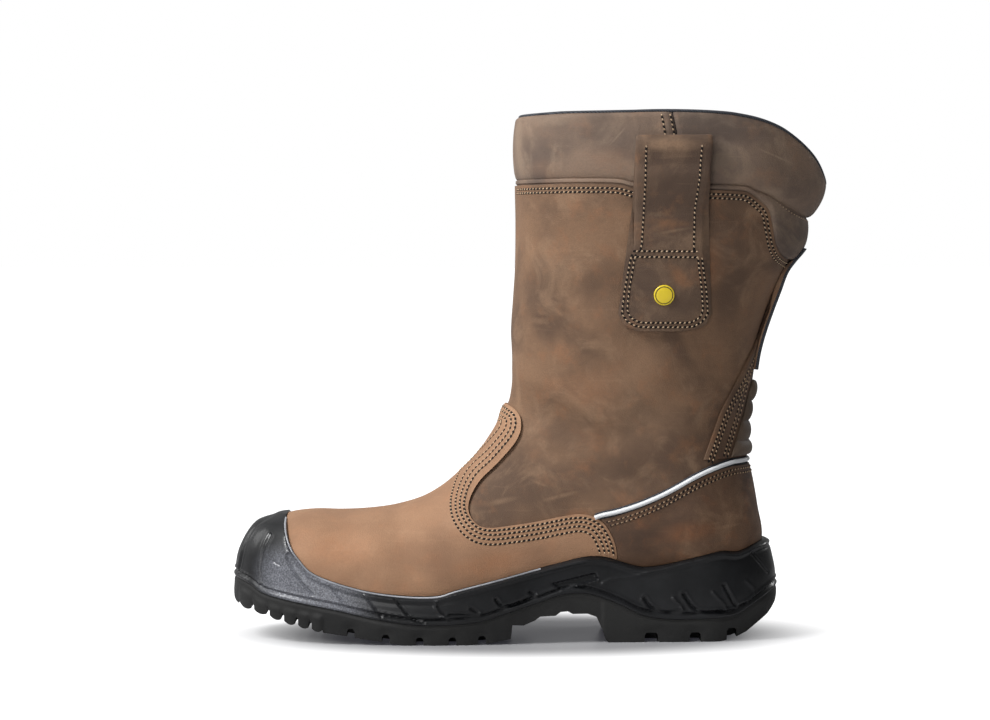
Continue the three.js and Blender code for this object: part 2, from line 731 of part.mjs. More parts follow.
function makeUpper() {
  const outside = formSolid(0, LAST_ROW, 0);
  const inside = formSolid(0, LAST_ROW, -WALL);
  return outside.subtract(inside).intersect(between(footbedLine, shaftEdge));
}

function overlayShell(first, last) {
  return formSolid(first, last, CLEARANCE + OVERLAY).subtract(formSolid(first, last, CLEARANCE));
}

function vampOutline() {
  const feather = raised(featherLine, CLEARANCE);
  const shifted = feather.map((point) => new THREE.Vector2(point.x + CLEARANCE, point.y));
  const end = vampEdge[vampEdge.length - 1];
  const lower = shifted.filter((point) => point.x < end.x);
  const start = new THREE.Vector2(lower[0].x, vampEdge[0].y);
  return [start, ...lower, ...[...vampEdge].reverse().filter((point) => point.y > heightOn(feather, point.x))];
}

function makeVamp() {
  return overlayShell(0, HEEL_ROW).intersect(acrossSolid(vampOutline()));
}

function makeHeelCounter() {
  const piping = smoothLine(PIPING_LINE);
  const top = piping.map((point) => new THREE.Vector2(point.x, point.y - PIPING_RADIUS - 3 * CLEARANCE));
  const rearEnd = new THREE.Vector2(SOLE_LENGTH, top[top.length - 1].y);
  const lower = raised(featherLine, CLEARANCE).filter((point) => point.x > alongX(0.64));
  const shape = acrossSolid([...lower, rearEnd, ...[...top].reverse()]);
  const vampSide = acrossSolid([
    new THREE.Vector2(-SOLE_LENGTH, 0),
    new THREE.Vector2(-SOLE_LENGTH, vampEdge[0].y),
    ...vampEdge.map((point) => new THREE.Vector2(point.x + CLEARANCE, point.y + CLEARANCE)),
    new THREE.Vector2(vampEdge[vampEdge.length - 1].x, 0),
  ]);
  return overlayShell(INSTEP_ROW, ANKLE_ROW).intersect(shape).subtract(vampSide);
}

function makePiping() {
  const lift = 2 * CLEARANCE + PIPING_RADIUS;
  const side = linePoints(PIPING_LINE);
  const height = side[side.length - 1].y;
  const lateral = side.map((point) => onSide(point.x, point.y, LATERAL, lift));
  const medial = side.map((point) => onSide(point.x, point.y, MEDIAL, lift)).reverse();
  const turns = [-0.45, -0.3, -0.15, 0, 0.15, 0.3, 0.45];
  const rear = turns.map((turn) => atLevel(height, Math.PI + turn, lift));
  const curve = new THREE.CatmullRomCurve3([...lateral, ...rear, ...medial]);
  const section = new THREE.Shape();
  section.absarc(0, 0, PIPING_RADIUS, 0, 2 * Math.PI);
  const geometry = new THREE.ExtrudeGeometry(section, {
    curveSegments: 3, steps: 34, extrudePath: curve, bevelEnabled: false,
  });
  return toSolid(geometry);
}

// A band round the back: rows from table, each with a ring of outer and inner points.
function wrapSolid(table, steps, innerLift, outerLift) {
  const rings = table.map((row) => {
    const z = upZ(row.up);
    const edge = placeFor(alongX(row.along), z).turn;
    const outer = [];
    const inner = [];
    for (let i = 0; i <= steps; i += 1) {
      const share = i / steps;
      const turn = mix(edge, 2 * Math.PI - edge, share);
      const ends = i === 0 || i === steps;
      outer.push(atLevel(z, turn, outerLift(row, ends)));
      inner.push(atLevel(z, turn, innerLift));
    }
    return [...outer, ...inner.reverse()];
  });
  return loft(rings);
}

function makeRearPanel() {
  return wrapSolid(REAR_PANEL, 8, CLEARANCE, () => CLEARANCE + OVERLAY);
}

function makeBackPad() {
  const base = 2 * CLEARANCE + OVERLAY;
  return wrapSolid(BACK_PAD, 8, base, (row, ends) => base + OVERLAY * (ends ? 0.6 : row.rib));
}

function makeBackStrip() {
  const half = 11;
  const rings = BACK_STRIP.map((row) => {
    const form = rowAt(row.row);
    const points = [];
    for (const [level, order] of [[0.5, 1], [-0.5, -1]]) {
      for (let i = -2; i <= 2; i += 1) {
        const y = (order * i * half) / 2;
        const bend = Math.asin((Math.abs(y) / form.lateral) ** (form.backRound / 2)) * Math.sign(y);
        const lift = STRAP_THICKNESS * (row.lift + 0.8 * level) + CLEARANCE;
        points.push(skin(row.row, Math.PI + bend, lift));
      }
    }
    return points;
  });
  return loft(rings);
}

function makePullLoop(side) {
  const path = STRAP_PATH.map((row) => new THREE.Vector2(upZ(row.up), STRAP_THICKNESS * row.lift));
  const outer = [];
  const inner = [];
  path.forEach((point, i) => {
    const before = path[Math.max(0, i - 1)];
    const after = path[Math.min(path.length - 1, i + 1)];
    const run = after.clone().sub(before).normalize();
    const push = new THREE.Vector2(-run.y, run.x).multiplyScalar(STRAP_THICKNESS / 2);
    outer.push(point.clone().add(push));
    inner.push(point.clone().sub(push));
  });
  const loop = [...outer, ...inner.reverse()];
  const rings = [];
  for (let i = 0; i <= STRAP_STATIONS; i += 1) {
    rings.push(loop.map((point) => {
      const up = point.x / BOOT_HEIGHT;
      const front = alongX(columnAt(STRAP_EDGES, "up", "front", up));
      const back = alongX(columnAt(STRAP_EDGES, "up", "back", up));
      return onSide(mix(front, back, i / STRAP_STATIONS), point.x, side, point.y);
    }));
  }
  return loft(rings);
}

function makeBadge() {
  const disc = new THREE.CylinderGeometry(BADGE_RADIUS, BADGE_RADIUS, BADGE_THICKNESS, 20);
  const x = alongX(0.784);
  const z = upZ(0.648);
  const seat = onSide(x, z, LATERAL, STRAP_THICKNESS * 1.15 + CLEARANCE + BADGE_THICKNESS / 2);
  const outward = seat.clone().sub(onSide(x, z, LATERAL, 0)).normalize();
  disc.applyQuaternion(new THREE.Quaternion().setFromUnitVectors(new THREE.Vector3(0, 1, 0), outward));
  disc.translate(seat.x, seat.y, seat.z);
  return toSolid(disc);
}

// Collar: a padded ring with an upper and a lower puff, tucked inside the shaft's edge.

const rimLine = smoothLine(RIM_LINE);
const seamLine = smoothLine(PUFF_SEAM);
const COLLAR_STATIONS = 36;

const LOWER_PUFF = [
  { share: 0.0, swell: 0.0 },
  { share: 0.5, swell: 1.0 },
];
const UPPER_PUFF = [
  { share: 0.00, swell: 0.00 },
  { share: 0.12, swell: 0.62 },
  { share: 0.35, swell: 1.00 },
  { share: 0.62, swell: 0.97 },
  { share: 0.85, swell: 0.74 },
  { share: 0.96, swell: 0.35 },
];
const LINING = [
  { share: 0.98, depth: 0.55 },
  { share: 0.88, depth: 0.90 },
  { share: 0.55, depth: 1.00 },
  { share: 0.00, depth: 1.00 },
];

function levelPoint(z, turn, off) {
  const at = FIRST_LEVEL_ROW + (z - upZ(FORM[FIRST_LEVEL_ROW].fu)) / upZ(0.05);
  return skin(at, turn, off);
}

function collarRing(turn) {
  const behind = ((1 - Math.cos(turn)) / 2) ** 3;
  const base = mix(-0.8, 2.2, behind);
  const lowerPuff = mix(0.3, 1.4, behind);
  const upperPuff = mix(1.6, 6.4, behind);
  const depth = mix(5, 7, behind);
  const low = upZ(0.69);
  const high = upZ(1.03);
  const meeting = (line, off, at = turn) => solveRising(
    low, high, (z) => z - heightOn(line, levelPoint(z, at, off).x));
  const edge = meeting(shaftEdge, 0);
  const nearby = [-0.2, -0.1, 0, 0.1, 0.2].map((step) => meeting(shaftEdge, 0, turn + step));
  const tucked = Math.min(...nearby) - COLLAR_TUCK;
  const rim = meeting(rimLine, mix(0, 5, behind));
  const seam = Math.max(edge + 3, meeting(seamLine, base));
  const ring = [];
  ring.push(levelPoint(tucked, turn, base));
  for (const row of LOWER_PUFF) {
    ring.push(levelPoint(mix(edge, seam, row.share), turn, base + lowerPuff * row.swell));
  }
  for (const row of UPPER_PUFF) {
    ring.push(levelPoint(mix(seam, rim, row.share), turn, base + upperPuff * row.swell));
  }
  ring.push(levelPoint(rim, turn, base - 2));
  for (const row of LINING) {
    ring.push(levelPoint(mix(tucked, rim, row.share), turn, -depth * row.depth));
  }
  return ring;
}

function makeCollar() {
  const rings = [];
  for (let i = 0; i < COLLAR_STATIONS; i += 1) {
    rings.push(collarRing((i * 2 * Math.PI) / COLLAR_STATIONS));
  }
  const shaftZone = formSolid(ANKLE_ROW, LAST_ROW, COLLAR_REACH)
    .subtract(formSolid(ANKLE_ROW, LAST_ROW, -WALL - CLEARANCE))
    .intersect(between(levelLine(0), raised(shaftEdge, CLEARANCE)));
  return loft(rings, true).subtract(shaftZone);
}

function makeInsole() {
  return formSolid(0, ANKLE_ROW, -WALL - CLEARANCE)
    .intersect(between(footbedLine, raised(footbedLine, INSOLE_THICKNESS)));
}

// Assembly

const LEATHER = { roughness: 0.75, metalness: 0 };
const PIECES = [
  { name: "outsole", solid: makeOutsole(), color: "#3b3b3a", roughness: 0.9, metalness: 0 },
  { name: "midsole", solid: makeMidsole(), color: "#2b2c2e", roughness: 0.6, metalness: 0 },
  { name: "insole", solid: makeInsole(), color: "#4a4a4c", roughness: 0.95, metalness: 0 },
  { name: "upper", solid: makeUpper(), color: "#7d6249", ...LEATHER },
  { name: "vamp", solid: makeVamp(), color: "#a07c5c", ...LEATHER },
  { name: "heel_counter", solid: makeHeelCounter(), color: "#6b5442", ...LEATHER },
  { name: "rear_panel", solid: makeRearPanel(), color: "#5c4838", ...LEATHER },
  { name: "back_pad", solid: makeBackPad(), color: "#55463a", ...LEATHER },
  { name: "back_strip", solid: makeBackStrip(), color: "#35363a", roughness: 0.8, metalness: 0 },
  { name: "piping", solid: makePiping(), color: "#d9dcde", roughness: 0.35, metalness: 0 },
  { name: "collar", solid: makeCollar(), color: "#7c6654", ...LEATHER },
  { name: "pull_loop_outer", solid: makePullLoop(LATERAL), color: "#75583f", ...LEATHER },
  { name: "pull_loop_inner", solid: makePullLoop(MEDIAL), color: "#75583f", ...LEATHER },
  { name: "badge", solid: makeBadge(), color: "#f4d83c", roughness: 0.5, metalness: 0 },
];

const boot = new THREE.Group();
boot.name = "work_boot";
const whole = new THREE.Box3();
for (const piece of PIECES) {
  const material = new THREE.MeshStandardMaterial({
    color: piece.color, roughness: piece.roughness, metalness: piece.metalness,
  });
  const mesh = new THREE.Mesh(toGeometry(piece.solid), material);
  mesh.name = piece.name;
  boot.add(mesh);
  mesh.geometry.computeBoundingBox();
  whole.union(mesh.geometry.boundingBox);
}

// The origin is on the floor under the middle of the boot's box.
const middle = whole.getCenter(new THREE.Vector3());
for (const mesh of boot.children) {
  mesh.geometry.translate(-middle.x, -middle.y, -whole.min.z);
}

export default boot;
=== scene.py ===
import math
import bpy
import numpy as np
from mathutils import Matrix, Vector


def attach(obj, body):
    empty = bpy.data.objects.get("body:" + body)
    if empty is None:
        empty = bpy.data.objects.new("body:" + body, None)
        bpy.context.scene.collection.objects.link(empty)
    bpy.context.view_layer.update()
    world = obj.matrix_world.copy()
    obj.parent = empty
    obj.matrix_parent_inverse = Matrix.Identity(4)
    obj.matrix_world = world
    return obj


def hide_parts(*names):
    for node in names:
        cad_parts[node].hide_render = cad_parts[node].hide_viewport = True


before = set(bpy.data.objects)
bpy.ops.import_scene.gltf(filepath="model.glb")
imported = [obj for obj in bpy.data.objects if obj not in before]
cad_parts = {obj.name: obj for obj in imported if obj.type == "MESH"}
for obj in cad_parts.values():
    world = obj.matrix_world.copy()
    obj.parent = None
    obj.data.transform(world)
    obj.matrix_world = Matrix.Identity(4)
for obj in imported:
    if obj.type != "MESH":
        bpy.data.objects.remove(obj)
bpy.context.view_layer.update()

# The boot stands under soft lamps, a large one over the toe and weaker ones round it.
# The camera looks at its outer side from nearly level, as in the photograph.
EYE = Vector((-0.0191, -1.8, 0.235))
DIP = math.radians(2.513)
FOCAL_LENGTH = 115.3
SENSOR_WIDTH = 36
AIM = Vector((0, 0, 0.12))
LAMPS = [
    {"name": "over_toe", "place": (-1.45, -0.80, 1.90), "size": 0.9, "watts": 60},
    {"name": "front_fill", "place": (-0.9, -2.4, 0.6), "size": 1.2, "watts": 13},
    {"name": "rim_left", "place": (-1.5, 0.8, 0.9), "size": 0.5, "watts": 2},
    {"name": "rim_back", "place": (1.4, 1.3, 0.9), "size": 0.5, "watts": 4},
]
DIM_SIDE = 0.10
LIT_SIDE = 0.40
SIDE_SPREAD = 0.8

lens = bpy.data.cameras.new("eye")
lens.lens = FOCAL_LENGTH
lens.sensor_width = SENSOR_WIDTH
camera = bpy.data.objects.new("eye", lens)
camera.location = EYE
camera.rotation_euler = (math.radians(90) - DIP, 0, 0)
bpy.context.collection.objects.link(camera)
bpy.context.scene.camera = camera
bpy.context.scene.view_settings.view_transform = "Standard"

for lamp in LAMPS:
    light = bpy.data.lights.new(lamp["name"], "AREA")
    light.size = lamp["size"]
    light.energy = lamp["watts"]
    stand = bpy.data.objects.new(lamp["name"], light)
    stand.location = lamp["place"]
    stand.rotation_euler = (AIM - stand.location).to_track_quat("-Z", "Y").to_euler()
    bpy.context.collection.objects.link(stand)

# The room's light is dim, weaker behind the heel, and what is seen past the floor is plain white.
sky = bpy.data.worlds.new("studio")
sky.use_nodes = True
sky_nodes, sky_links = sky.node_tree.nodes, sky.node_tree.links
way = sky_nodes.new("ShaderNodeTexCoord")
apart = sky_nodes.new("ShaderNodeSeparateXYZ")
dim = sky_nodes.new("ShaderNodeMapRange")
dim.inputs["From Min"].default_value = -SIDE_SPREAD
dim.inputs["From Max"].default_value = SIDE_SPREAD
dim.inputs["To Min"].default_value = LIT_SIDE
dim.inputs["To Max"].default_value = DIM_SIDE
ray = sky_nodes.new("ShaderNodeLightPath")
seen = sky_nodes.new("ShaderNodeMapRange")
seen.inputs["To Max"].default_value = 1.0
sky_links.new(way.outputs["Generated"], apart.inputs[0])
sky_links.new(apart.outputs["X"], dim.inputs["Value"])
sky_links.new(dim.outputs["Result"], seen.inputs["To Min"])
sky_links.new(ray.outputs["Is Camera Ray"], seen.inputs["Value"])
sky_links.new(seen.outputs["Result"], sky_nodes["Background"].inputs["Strength"])
sky_nodes["Background"].inputs["Color"].default_value = (1, 1, 1, 1)
bpy.context.scene.world = sky


def paint(red, green, blue):
    """A colour as the eye reads it, 0 to 255, as the linear light that the shader needs."""
    shares = [value / 255 for value in (red, green, blue)]
    linear = [v / 12.92 if v <= 0.04045 else ((v + 0.055) / 1.055) ** 2.4 for v in shares]
    return (*linear, 1.0)


class Wire:
    """One value in a finish, which Python's signs combine by Math nodes."""

    def __init__(self, finish, socket):
        self.finish = finish
        self.socket = socket

    def joined(self, operation, first, second):
        return self.finish.node("ShaderNodeMath", {"operation": operation}, {0: first, 1: second})

    def __add__(self, other):
        return self.joined("ADD", self, other)

    def __radd__(self, other):
        return self.joined("ADD", other, self)

    def __rsub__(self, other):
        return self.joined("SUBTRACT", other, self)

    def __mul__(self, other):
        return self.joined("MULTIPLY", self, other)


class Finish:
    """A material and the few ways in which its nodes are made."""

    def __init__(self, name):
        self.material = bpy.data.materials.new(name)
        self.material.use_nodes = True
        self.tree = self.material.node_tree
        self.shader = self.tree.nodes["Principled BSDF"]
        self.place = self.node("ShaderNodeTexCoord", output="Object")

    def node(self, kind, settings=None, inputs=None, output=0):
        made = self.tree.nodes.new(kind)
        for name, value in (settings or {}).items():
            setattr(made, name, value)
        for name, value in (inputs or {}).items():
            self.feed(made.inputs[name], value)
        return Wire(self, made.outputs[output])

    def feed(self, socket, value):
        if isinstance(value, Wire):
            self.tree.links.new(value.socket, socket)
        else:
            socket.default_value = value

    def noise(self, scale, detail=4.0, rough=0.55, warp=0.0, vector=None):
        return self.node("ShaderNodeTexNoise", None, {
            "Vector": vector or self.place, "Scale": scale, "Detail": detail,
            "Roughness": rough, "Distortion": warp})

    def stretched(self, turn, scale, shift=(0, 0, 0)):
        return self.node("ShaderNodeMapping", None, {
            "Vector": self.place, "Location": shift, "Rotation": turn, "Scale": scale})

    def step(self, value, low, high, to_low=0.0, to_high=1.0):
        """A value that eases from one number to another while its source goes from low to high."""
        return self.node("ShaderNodeMapRange", {"interpolation_type": "SMOOTHSTEP"}, {
            0: value, 1: low, 2: high, 3: to_low, 4: to_high})

    def blend(self, share, first, second):
        """A colour between the first, where the share is 0, and the second, where it is 1."""
        return self.node("ShaderNodeMix", {"data_type": "RGBA"}, {
            0: share, 6: first, 7: second}, output=2)

    def spot(self, centre, radii, lean=0.0, soft=0.6):
        """A share that is 1 in the middle of an oval place and fades out at its edge: it places stains
        and scuffs, and also painted shadow, shade, highlights and sheen.
        """
        local = self.node("ShaderNodeMapping", {"vector_type": "TEXTURE"}, {
            "Vector": self.place, "Location": centre, "Rotation": (0, math.radians(lean), 0),
            "Scale": radii})
        far = self.node("ShaderNodeVectorMath", {"operation": "LENGTH"}, {0: local}, "Value")
        return self.step(far, 1.0 - soft, 1.0, 1.0, 0.0)

    def relief(self, *layers):
        """Bump layers from coarse to fine, each a height, its depth in metres and its strength."""
        normal = None
        for height, depth, strength in layers:
            inputs = {"Height": height, "Distance": depth, "Strength": strength}
            if normal:
                inputs["Normal"] = normal
            normal = self.node("ShaderNodeBump", None, inputs)
        return normal

    def done(self, **sockets):
        for name, value in sockets.items():
            self.feed(self.shader.inputs[name.replace("_", " ")], value)
        return self.material


# The floor is a plain sheet that looks white itself, with a soft painted shadow under the boot,
# where its glow is darker. Only the camera sees its glow, so that it throws little light on the leather.
FLOOR = 14.0
SHADOW_MIDDLE = (-0.005, 0.0, 0.0)
SHADOW_REACH = (0.205, 0.125, 1.0)
SHADOW_EDGE = 0.48

floor_mesh = bpy.data.meshes.new("floor")
floor_mesh.from_pydata(
    [(-FLOOR, -FLOOR, 0), (FLOOR, -FLOOR, 0), (FLOOR, FLOOR, 0), (-FLOOR, FLOOR, 0)],
    [], [(0, 1, 2, 3)])
floor = bpy.data.objects.new("floor", floor_mesh)
bpy.context.collection.objects.link(floor)
white = Finish("white_floor")
# Painted shadow: an oval under the boot where the floor's glow turns dark.
painted_shadow_under_boot = white.spot(SHADOW_MIDDLE, SHADOW_REACH, 0.0, SHADOW_EDGE)
look = white.node("ShaderNodeLightPath")
glow = white.blend(painted_shadow_under_boot, (1, 1, 1, 1), (0.02, 0.02, 0.025, 1))
floor_mesh.materials.append(white.done(
    Base_Color=(0.48, 0.48, 0.49, 1), Roughness=0.22, Specular_IOR_Level=0.2,
    Emission_Color=white.blend(look, (0, 0, 0, 1), glow), Emission_Strength=1.0))

# The upper is one hollow leather form, from the sole to the edge under the collar, lasted and soft.
# Its shape comes from one table of sections over the last, and soft folds are pressed into it.
MM = 0.001
SHIFT = 13.424
SOLE_LENGTH = 308.0
BOOT_HEIGHT = 300.0
BALL_WIDTH = 110.0
WALL = 2.4
GAP = 0.3
SIDE_REACH = 90.0
INSTEP_ROW = 12
HEEL_ROW = 19
ANKLE_ROW = 24
FIRST_LEVEL_ROW = 27
LATERAL = 1
MEDIAL = -1

# Front point, back point, half widths, where it is widest, and how round front and back are.
FORM = np.array([
    (0.023, 0.150, 0.023, 0.127, 0.027, 0.027, 0.55, 2.2, 2.4),
    (0.025, 0.163, 0.025, 0.113, 0.109, 0.118, 0.60, 2.2, 2.6),
    (0.034, 0.177, 0.034, 0.100, 0.172, 0.204, 0.62, 2.2, 2.8),
    (0.049, 0.190, 0.049, 0.092, 0.232, 0.275, 0.64, 2.2, 2.9),
    (0.071, 0.208, 0.071, 0.083, 0.290, 0.336, 0.66, 2.2, 3.0),
    (0.104, 0.224, 0.104, 0.073, 0.345, 0.378, 0.66, 2.2, 3.0),
    (0.149, 0.230, 0.149, 0.063, 0.392, 0.407, 0.66, 2.2, 3.0),
    (0.201, 0.230, 0.201, 0.055, 0.426, 0.426, 0.66, 2.2, 3.0),
    (0.253, 0.232, 0.253, 0.047, 0.445, 0.436, 0.66, 2.2, 3.0),
    (0.305, 0.241, 0.312, 0.040, 0.450, 0.432, 0.66, 2.1, 3.0),
    (0.351, 0.255, 0.377, 0.038, 0.445, 0.414, 0.66, 2.1, 3.0),
    (0.390, 0.279, 0.448, 0.043, 0.432, 0.391, 0.66, 2.1, 3.0),
    (0.422, 0.307, 0.526, 0.060, 0.400, 0.352, 0.65, 2.0, 2.9),
    (0.451, 0.337, 0.604, 0.083, 0.374, 0.330, 0.64, 2.0, 2.8),
    (0.473, 0.368, 0.682, 0.095, 0.358, 0.322, 0.63, 2.0, 2.7),
    (0.490, 0.397, 0.760, 0.098, 0.352, 0.326, 0.62, 2.0, 2.6),
    (0.498, 0.423, 0.838, 0.100, 0.352, 0.337, 0.60, 2.0, 2.5),
    (0.507, 0.443, 0.909, 0.103, 0.358, 0.350, 0.58, 2.1, 2.4),
    (0.511, 0.462, 0.956, 0.137, 0.366, 0.364, 0.56, 2.1, 2.3),
    (0.513, 0.482, 0.968, 0.190, 0.376, 0.376, 0.54, 2.1, 2.2),
    (0.513, 0.503, 0.960, 0.243, 0.386, 0.386, 0.52, 2.2, 2.2),
    (0.513, 0.527, 0.950, 0.300, 0.391, 0.391, 0.51, 2.2, 2.2),
    (0.512, 0.550, 0.937, 0.357, 0.395, 0.395, 0.50, 2.2, 2.2),
    (0.511, 0.573, 0.936, 0.413, 0.402, 0.402, 0.50, 2.2, 2.2),
    (0.512, 0.600, 0.948, 0.477, 0.411, 0.411, 0.50, 2.2, 2.2),
    (0.514, 0.627, 0.959, 0.547, 0.425, 0.425, 0.50, 2.2, 2.2),
    (0.516, 0.657, 0.982, 0.620, 0.441, 0.441, 0.50, 2.2, 2.2),
    (0.518, 0.690, 1.011, 0.690, 0.459, 0.459, 0.50, 2.3, 2.2),
    (0.519, 0.740, 1.041, 0.740, 0.477, 0.477, 0.50, 2.3, 2.2),
    (0.519, 0.790, 1.049, 0.790, 0.491, 0.491, 0.50, 2.3, 2.2),
    (0.518, 0.840, 1.060, 0.840, 0.500, 0.500, 0.50, 2.3, 2.2),
    (0.518, 0.890, 1.063, 0.890, 0.505, 0.505, 0.50, 2.3, 2.2),
    (0.518, 0.940, 1.052, 0.940, 0.505, 0.505, 0.50, 2.3, 2.2),
    (0.521, 0.990, 1.032, 0.990, 0.500, 0.500, 0.50, 2.3, 2.2),
    (0.526, 1.040, 1.019, 1.040, 0.500, 0.500, 0.50, 2.3, 2.2),
])
LAST_ROW = len(FORM) - 1
SHAFT_EDGE = [
    (0.400, 0.848), (0.514, 0.849), (0.627, 0.851), (0.706, 0.849), (0.733, 0.842), (0.857, 0.840),
    (0.912, 0.838), (0.935, 0.835), (0.959, 0.818), (0.974, 0.803), (0.982, 0.770), (0.989, 0.739),
    (1.000, 0.721), (1.019, 0.711), (1.033, 0.717), (1.047, 0.741), (1.084, 0.800),
]
FOOTBED_LINE = [
    (-0.030, 0.121), (0.045, 0.110), (0.110, 0.097), (0.195, 0.082), (0.273, 0.068), (0.351, 0.060),
    (0.455, 0.070), (0.565, 0.097), (0.633, 0.112), (0.708, 0.117), (0.792, 0.120), (0.922, 0.123),
    (1.030, 0.128),
]
# Soft folds of the worn-in leather: the path seen from the side, how wide and how deep in mm.
FOLDS = [
    ([(0.530, 0.420), (0.600, 0.400), (0.690, 0.372)], 9.0, 0.9),
    ([(0.560, 0.350), (0.660, 0.320), (0.760, 0.305)], 8.0, 0.7),
    ([(0.880, 0.520), (0.800, 0.450), (0.740, 0.400)], 10.0, 0.8),
    ([(0.520, 0.560), (0.620, 0.540), (0.700, 0.500)], 12.0, 0.6),
    ([(0.960, 0.680), (0.900, 0.600), (0.840, 0.560)], 10.0, 0.7),
    ([(0.560, 0.780), (0.600, 0.700), (0.620, 0.620)], 12.0, 0.5),
    ([(0.300, 0.235), (0.310, 0.190), (0.330, 0.140)], 9.0, 0.6),
    ([(0.200, 0.225), (0.215, 0.180), (0.240, 0.140)], 9.0, 0.4),
    ([(0.400, 0.280), (0.390, 0.220), (0.400, 0.170)], 8.0, 0.6),
    ([(0.800, 0.260), (0.780, 0.200), (0.800, 0.165)], 8.0, 0.5),
    ([(0.900, 0.300), (0.890, 0.240), (0.910, 0.190)], 7.0, 0.5),
]


def on_plan(pairs):
    """Side view shares as millimetres from the middle of the sole and from the floor."""
    pairs = np.asarray(pairs, float)
    return np.stack([SOLE_LENGTH * (pairs[:, 0] - 0.5), BOOT_HEIGHT * pairs[:, 1]], 1)


def smooth(points, spans, closed=False):
    """A curve through points, bent no tighter than their spacing allows."""
    points = np.asarray(points, float)
    if closed:
        ends = np.vstack([points[-1:], points, points[:2]])
    else:
        ends = np.vstack([2 * points[:1] - points[1:2], points, 2 * points[-1:] - points[-2:-1]])
    a, b, c, d = (ends[k:len(ends) - 3 + k] for k in range(4))
    first, middle, last = (
        np.maximum(np.linalg.norm(q - p, axis=1)[:, None] ** 0.5, 1e-6)
        for p, q in ((a, b), (b, c), (c, d)))
    leave = middle * ((b - a) / first - (c - a) / (first + middle) + (c - b) / middle)
    arrive = middle * ((c - b) / middle - (d - b) / (middle + last) + (d - c) / last)
    t = (np.arange(spans) / spans)[None, :, None]
    b, c, leave, arrive = (part[:, None, :] for part in (b, c, leave, arrive))
    curve = (b + leave * t + (3 * (c - b) - 2 * leave - arrive) * t ** 2
             + (2 * (b - c) + leave + arrive) * t ** 3).reshape(-1, points.shape[1])
    return curve if closed else np.vstack([curve, points[-1:]])


def evenly(points, spacing):
    """The same path with points at an even spacing."""
    steps = np.linalg.norm(np.diff(points, axis=0), axis=1)
    run = np.concatenate([[0], np.cumsum(steps)])
    places = np.linspace(0, run[-1], max(2, int(round(run[-1] / spacing)) + 1))
    return np.stack([np.interp(places, run, points[:, k]) for k in range(points.shape[1])], 1)


def distance_to(path, x, z):
    """How far each place in the side view is from a path."""
    nearest = np.full(np.broadcast(x, z).shape, 1e9)
    for (ax, az), (bx, bz) in zip(path[:-1], path[1:]):
        run = max((bx - ax) ** 2 + (bz - az) ** 2, 1e-9)
        share = np.clip(((x - ax) * (bx - ax) + (z - az) * (bz - az)) / run, 0, 1)
        far = np.hypot(x - ax - share * (bx - ax), z - az - share * (bz - az))
        nearest = np.minimum(nearest, far)
    return nearest


def form_row(at):
    """The row of the table at any place between its sections, in millimetres."""
    at = np.asarray(at, float)
    low = np.clip(np.floor(at), 0, LAST_ROW - 1).astype(int)
    t = (at - low)[..., None]
    a, b, c, d = (FORM[np.clip(low + k, 0, LAST_ROW)] for k in (-1, 0, 1, 2))
    leave = (c - a) / 2
    arrive = (d - b) / 2
    row = (b + leave * t + (3 * (c - b) - 2 * leave - arrive) * t ** 2
           + (2 * (b - c) + leave + arrive) * t ** 3)
    row[..., 0] = SOLE_LENGTH * (row[..., 0] - 0.5)
    row[..., 2] = SOLE_LENGTH * (row[..., 2] - 0.5)
    row[..., 1] *= BOOT_HEIGHT
    row[..., 3] *= BOOT_HEIGHT
    row[..., 4:6] *= BALL_WIDTH
    return row


def form_point(at, turn):
    """A point of the form: turn 0 is its front, a quarter its outer side, a half its back."""
    at, turn = np.broadcast_arrays(np.asarray(at, float), np.asarray(turn, float))
    row = form_row(at)
    whole = np.mod(turn, 2 * math.pi)
    inner = whole > math.pi
    angle = np.where(inner, 2 * math.pi - whole, whole)
    ahead = angle < math.pi / 2
    roundness = np.where(ahead, row[..., 7], row[..., 8])
    reach = np.abs(np.cos(angle)) ** (2 / roundness)
    widest = row[..., 6]
    share = np.where(ahead, widest * (1 - reach), widest + (1 - widest) * reach)
    across = np.abs(np.sin(angle)) ** (2 / roundness)
    y = np.where(inner, row[..., 5] * across, -row[..., 4] * across)
    x = row[..., 0] + (row[..., 2] - row[..., 0]) * share
    z = row[..., 1] + (row[..., 3] - row[..., 1]) * share
    return np.stack([x, y, z], -1)


def surface(at, turn):
    """Points of the form and the directions that point out of it there."""
    step = 0.05
    at = np.asarray(at, float)
    above = form_point(np.minimum(at + step, LAST_ROW), turn)
    rise = above - form_point(np.maximum(at - step, 0), turn)
    round_it = form_point(at, turn + step) - form_point(at, turn - step)
    outward = np.cross(round_it, rise)
    outward /= np.maximum(np.linalg.norm(outward, axis=-1, keepdims=True), 1e-9)
    return form_point(at, turn), outward


FOLD_PATHS = [(smooth(on_plan(path), 4), wide, deep) for path, wide, deep in FOLDS]


def folded(point):
    """How far the soft folds push the leather in or out, in millimetres."""
    x, z = point[..., 0], point[..., 2]
    side = np.where(point[..., 1] < 0, 1.0, 0.8) * np.clip(np.abs(point[..., 1]) / 20, 0, 1)
    push = np.zeros(x.shape)
    for path, wide, deep in FOLD_PATHS:
        far = distance_to(path, x, z)
        push -= deep * np.exp(-(far / wide) ** 2)
        push += 0.45 * deep * np.exp(-((far - 1.9 * wide) / wide) ** 2)
    slow = (np.sin(x / 17 + z / 29) * np.sin(z / 23 - x / 41 + 1.3)
            + 0.5 * np.sin(x / 9 - z / 13 + 0.7) * np.sin(z / 11 + 2.1))
    return side * (push + 0.22 * slow)


def skin(at, turn, off):
    """A place at a distance off the form, with its folds."""
    point, outward = surface(at, turn)
    return point + outward * (np.asarray(off, float) + folded(point))[..., None]


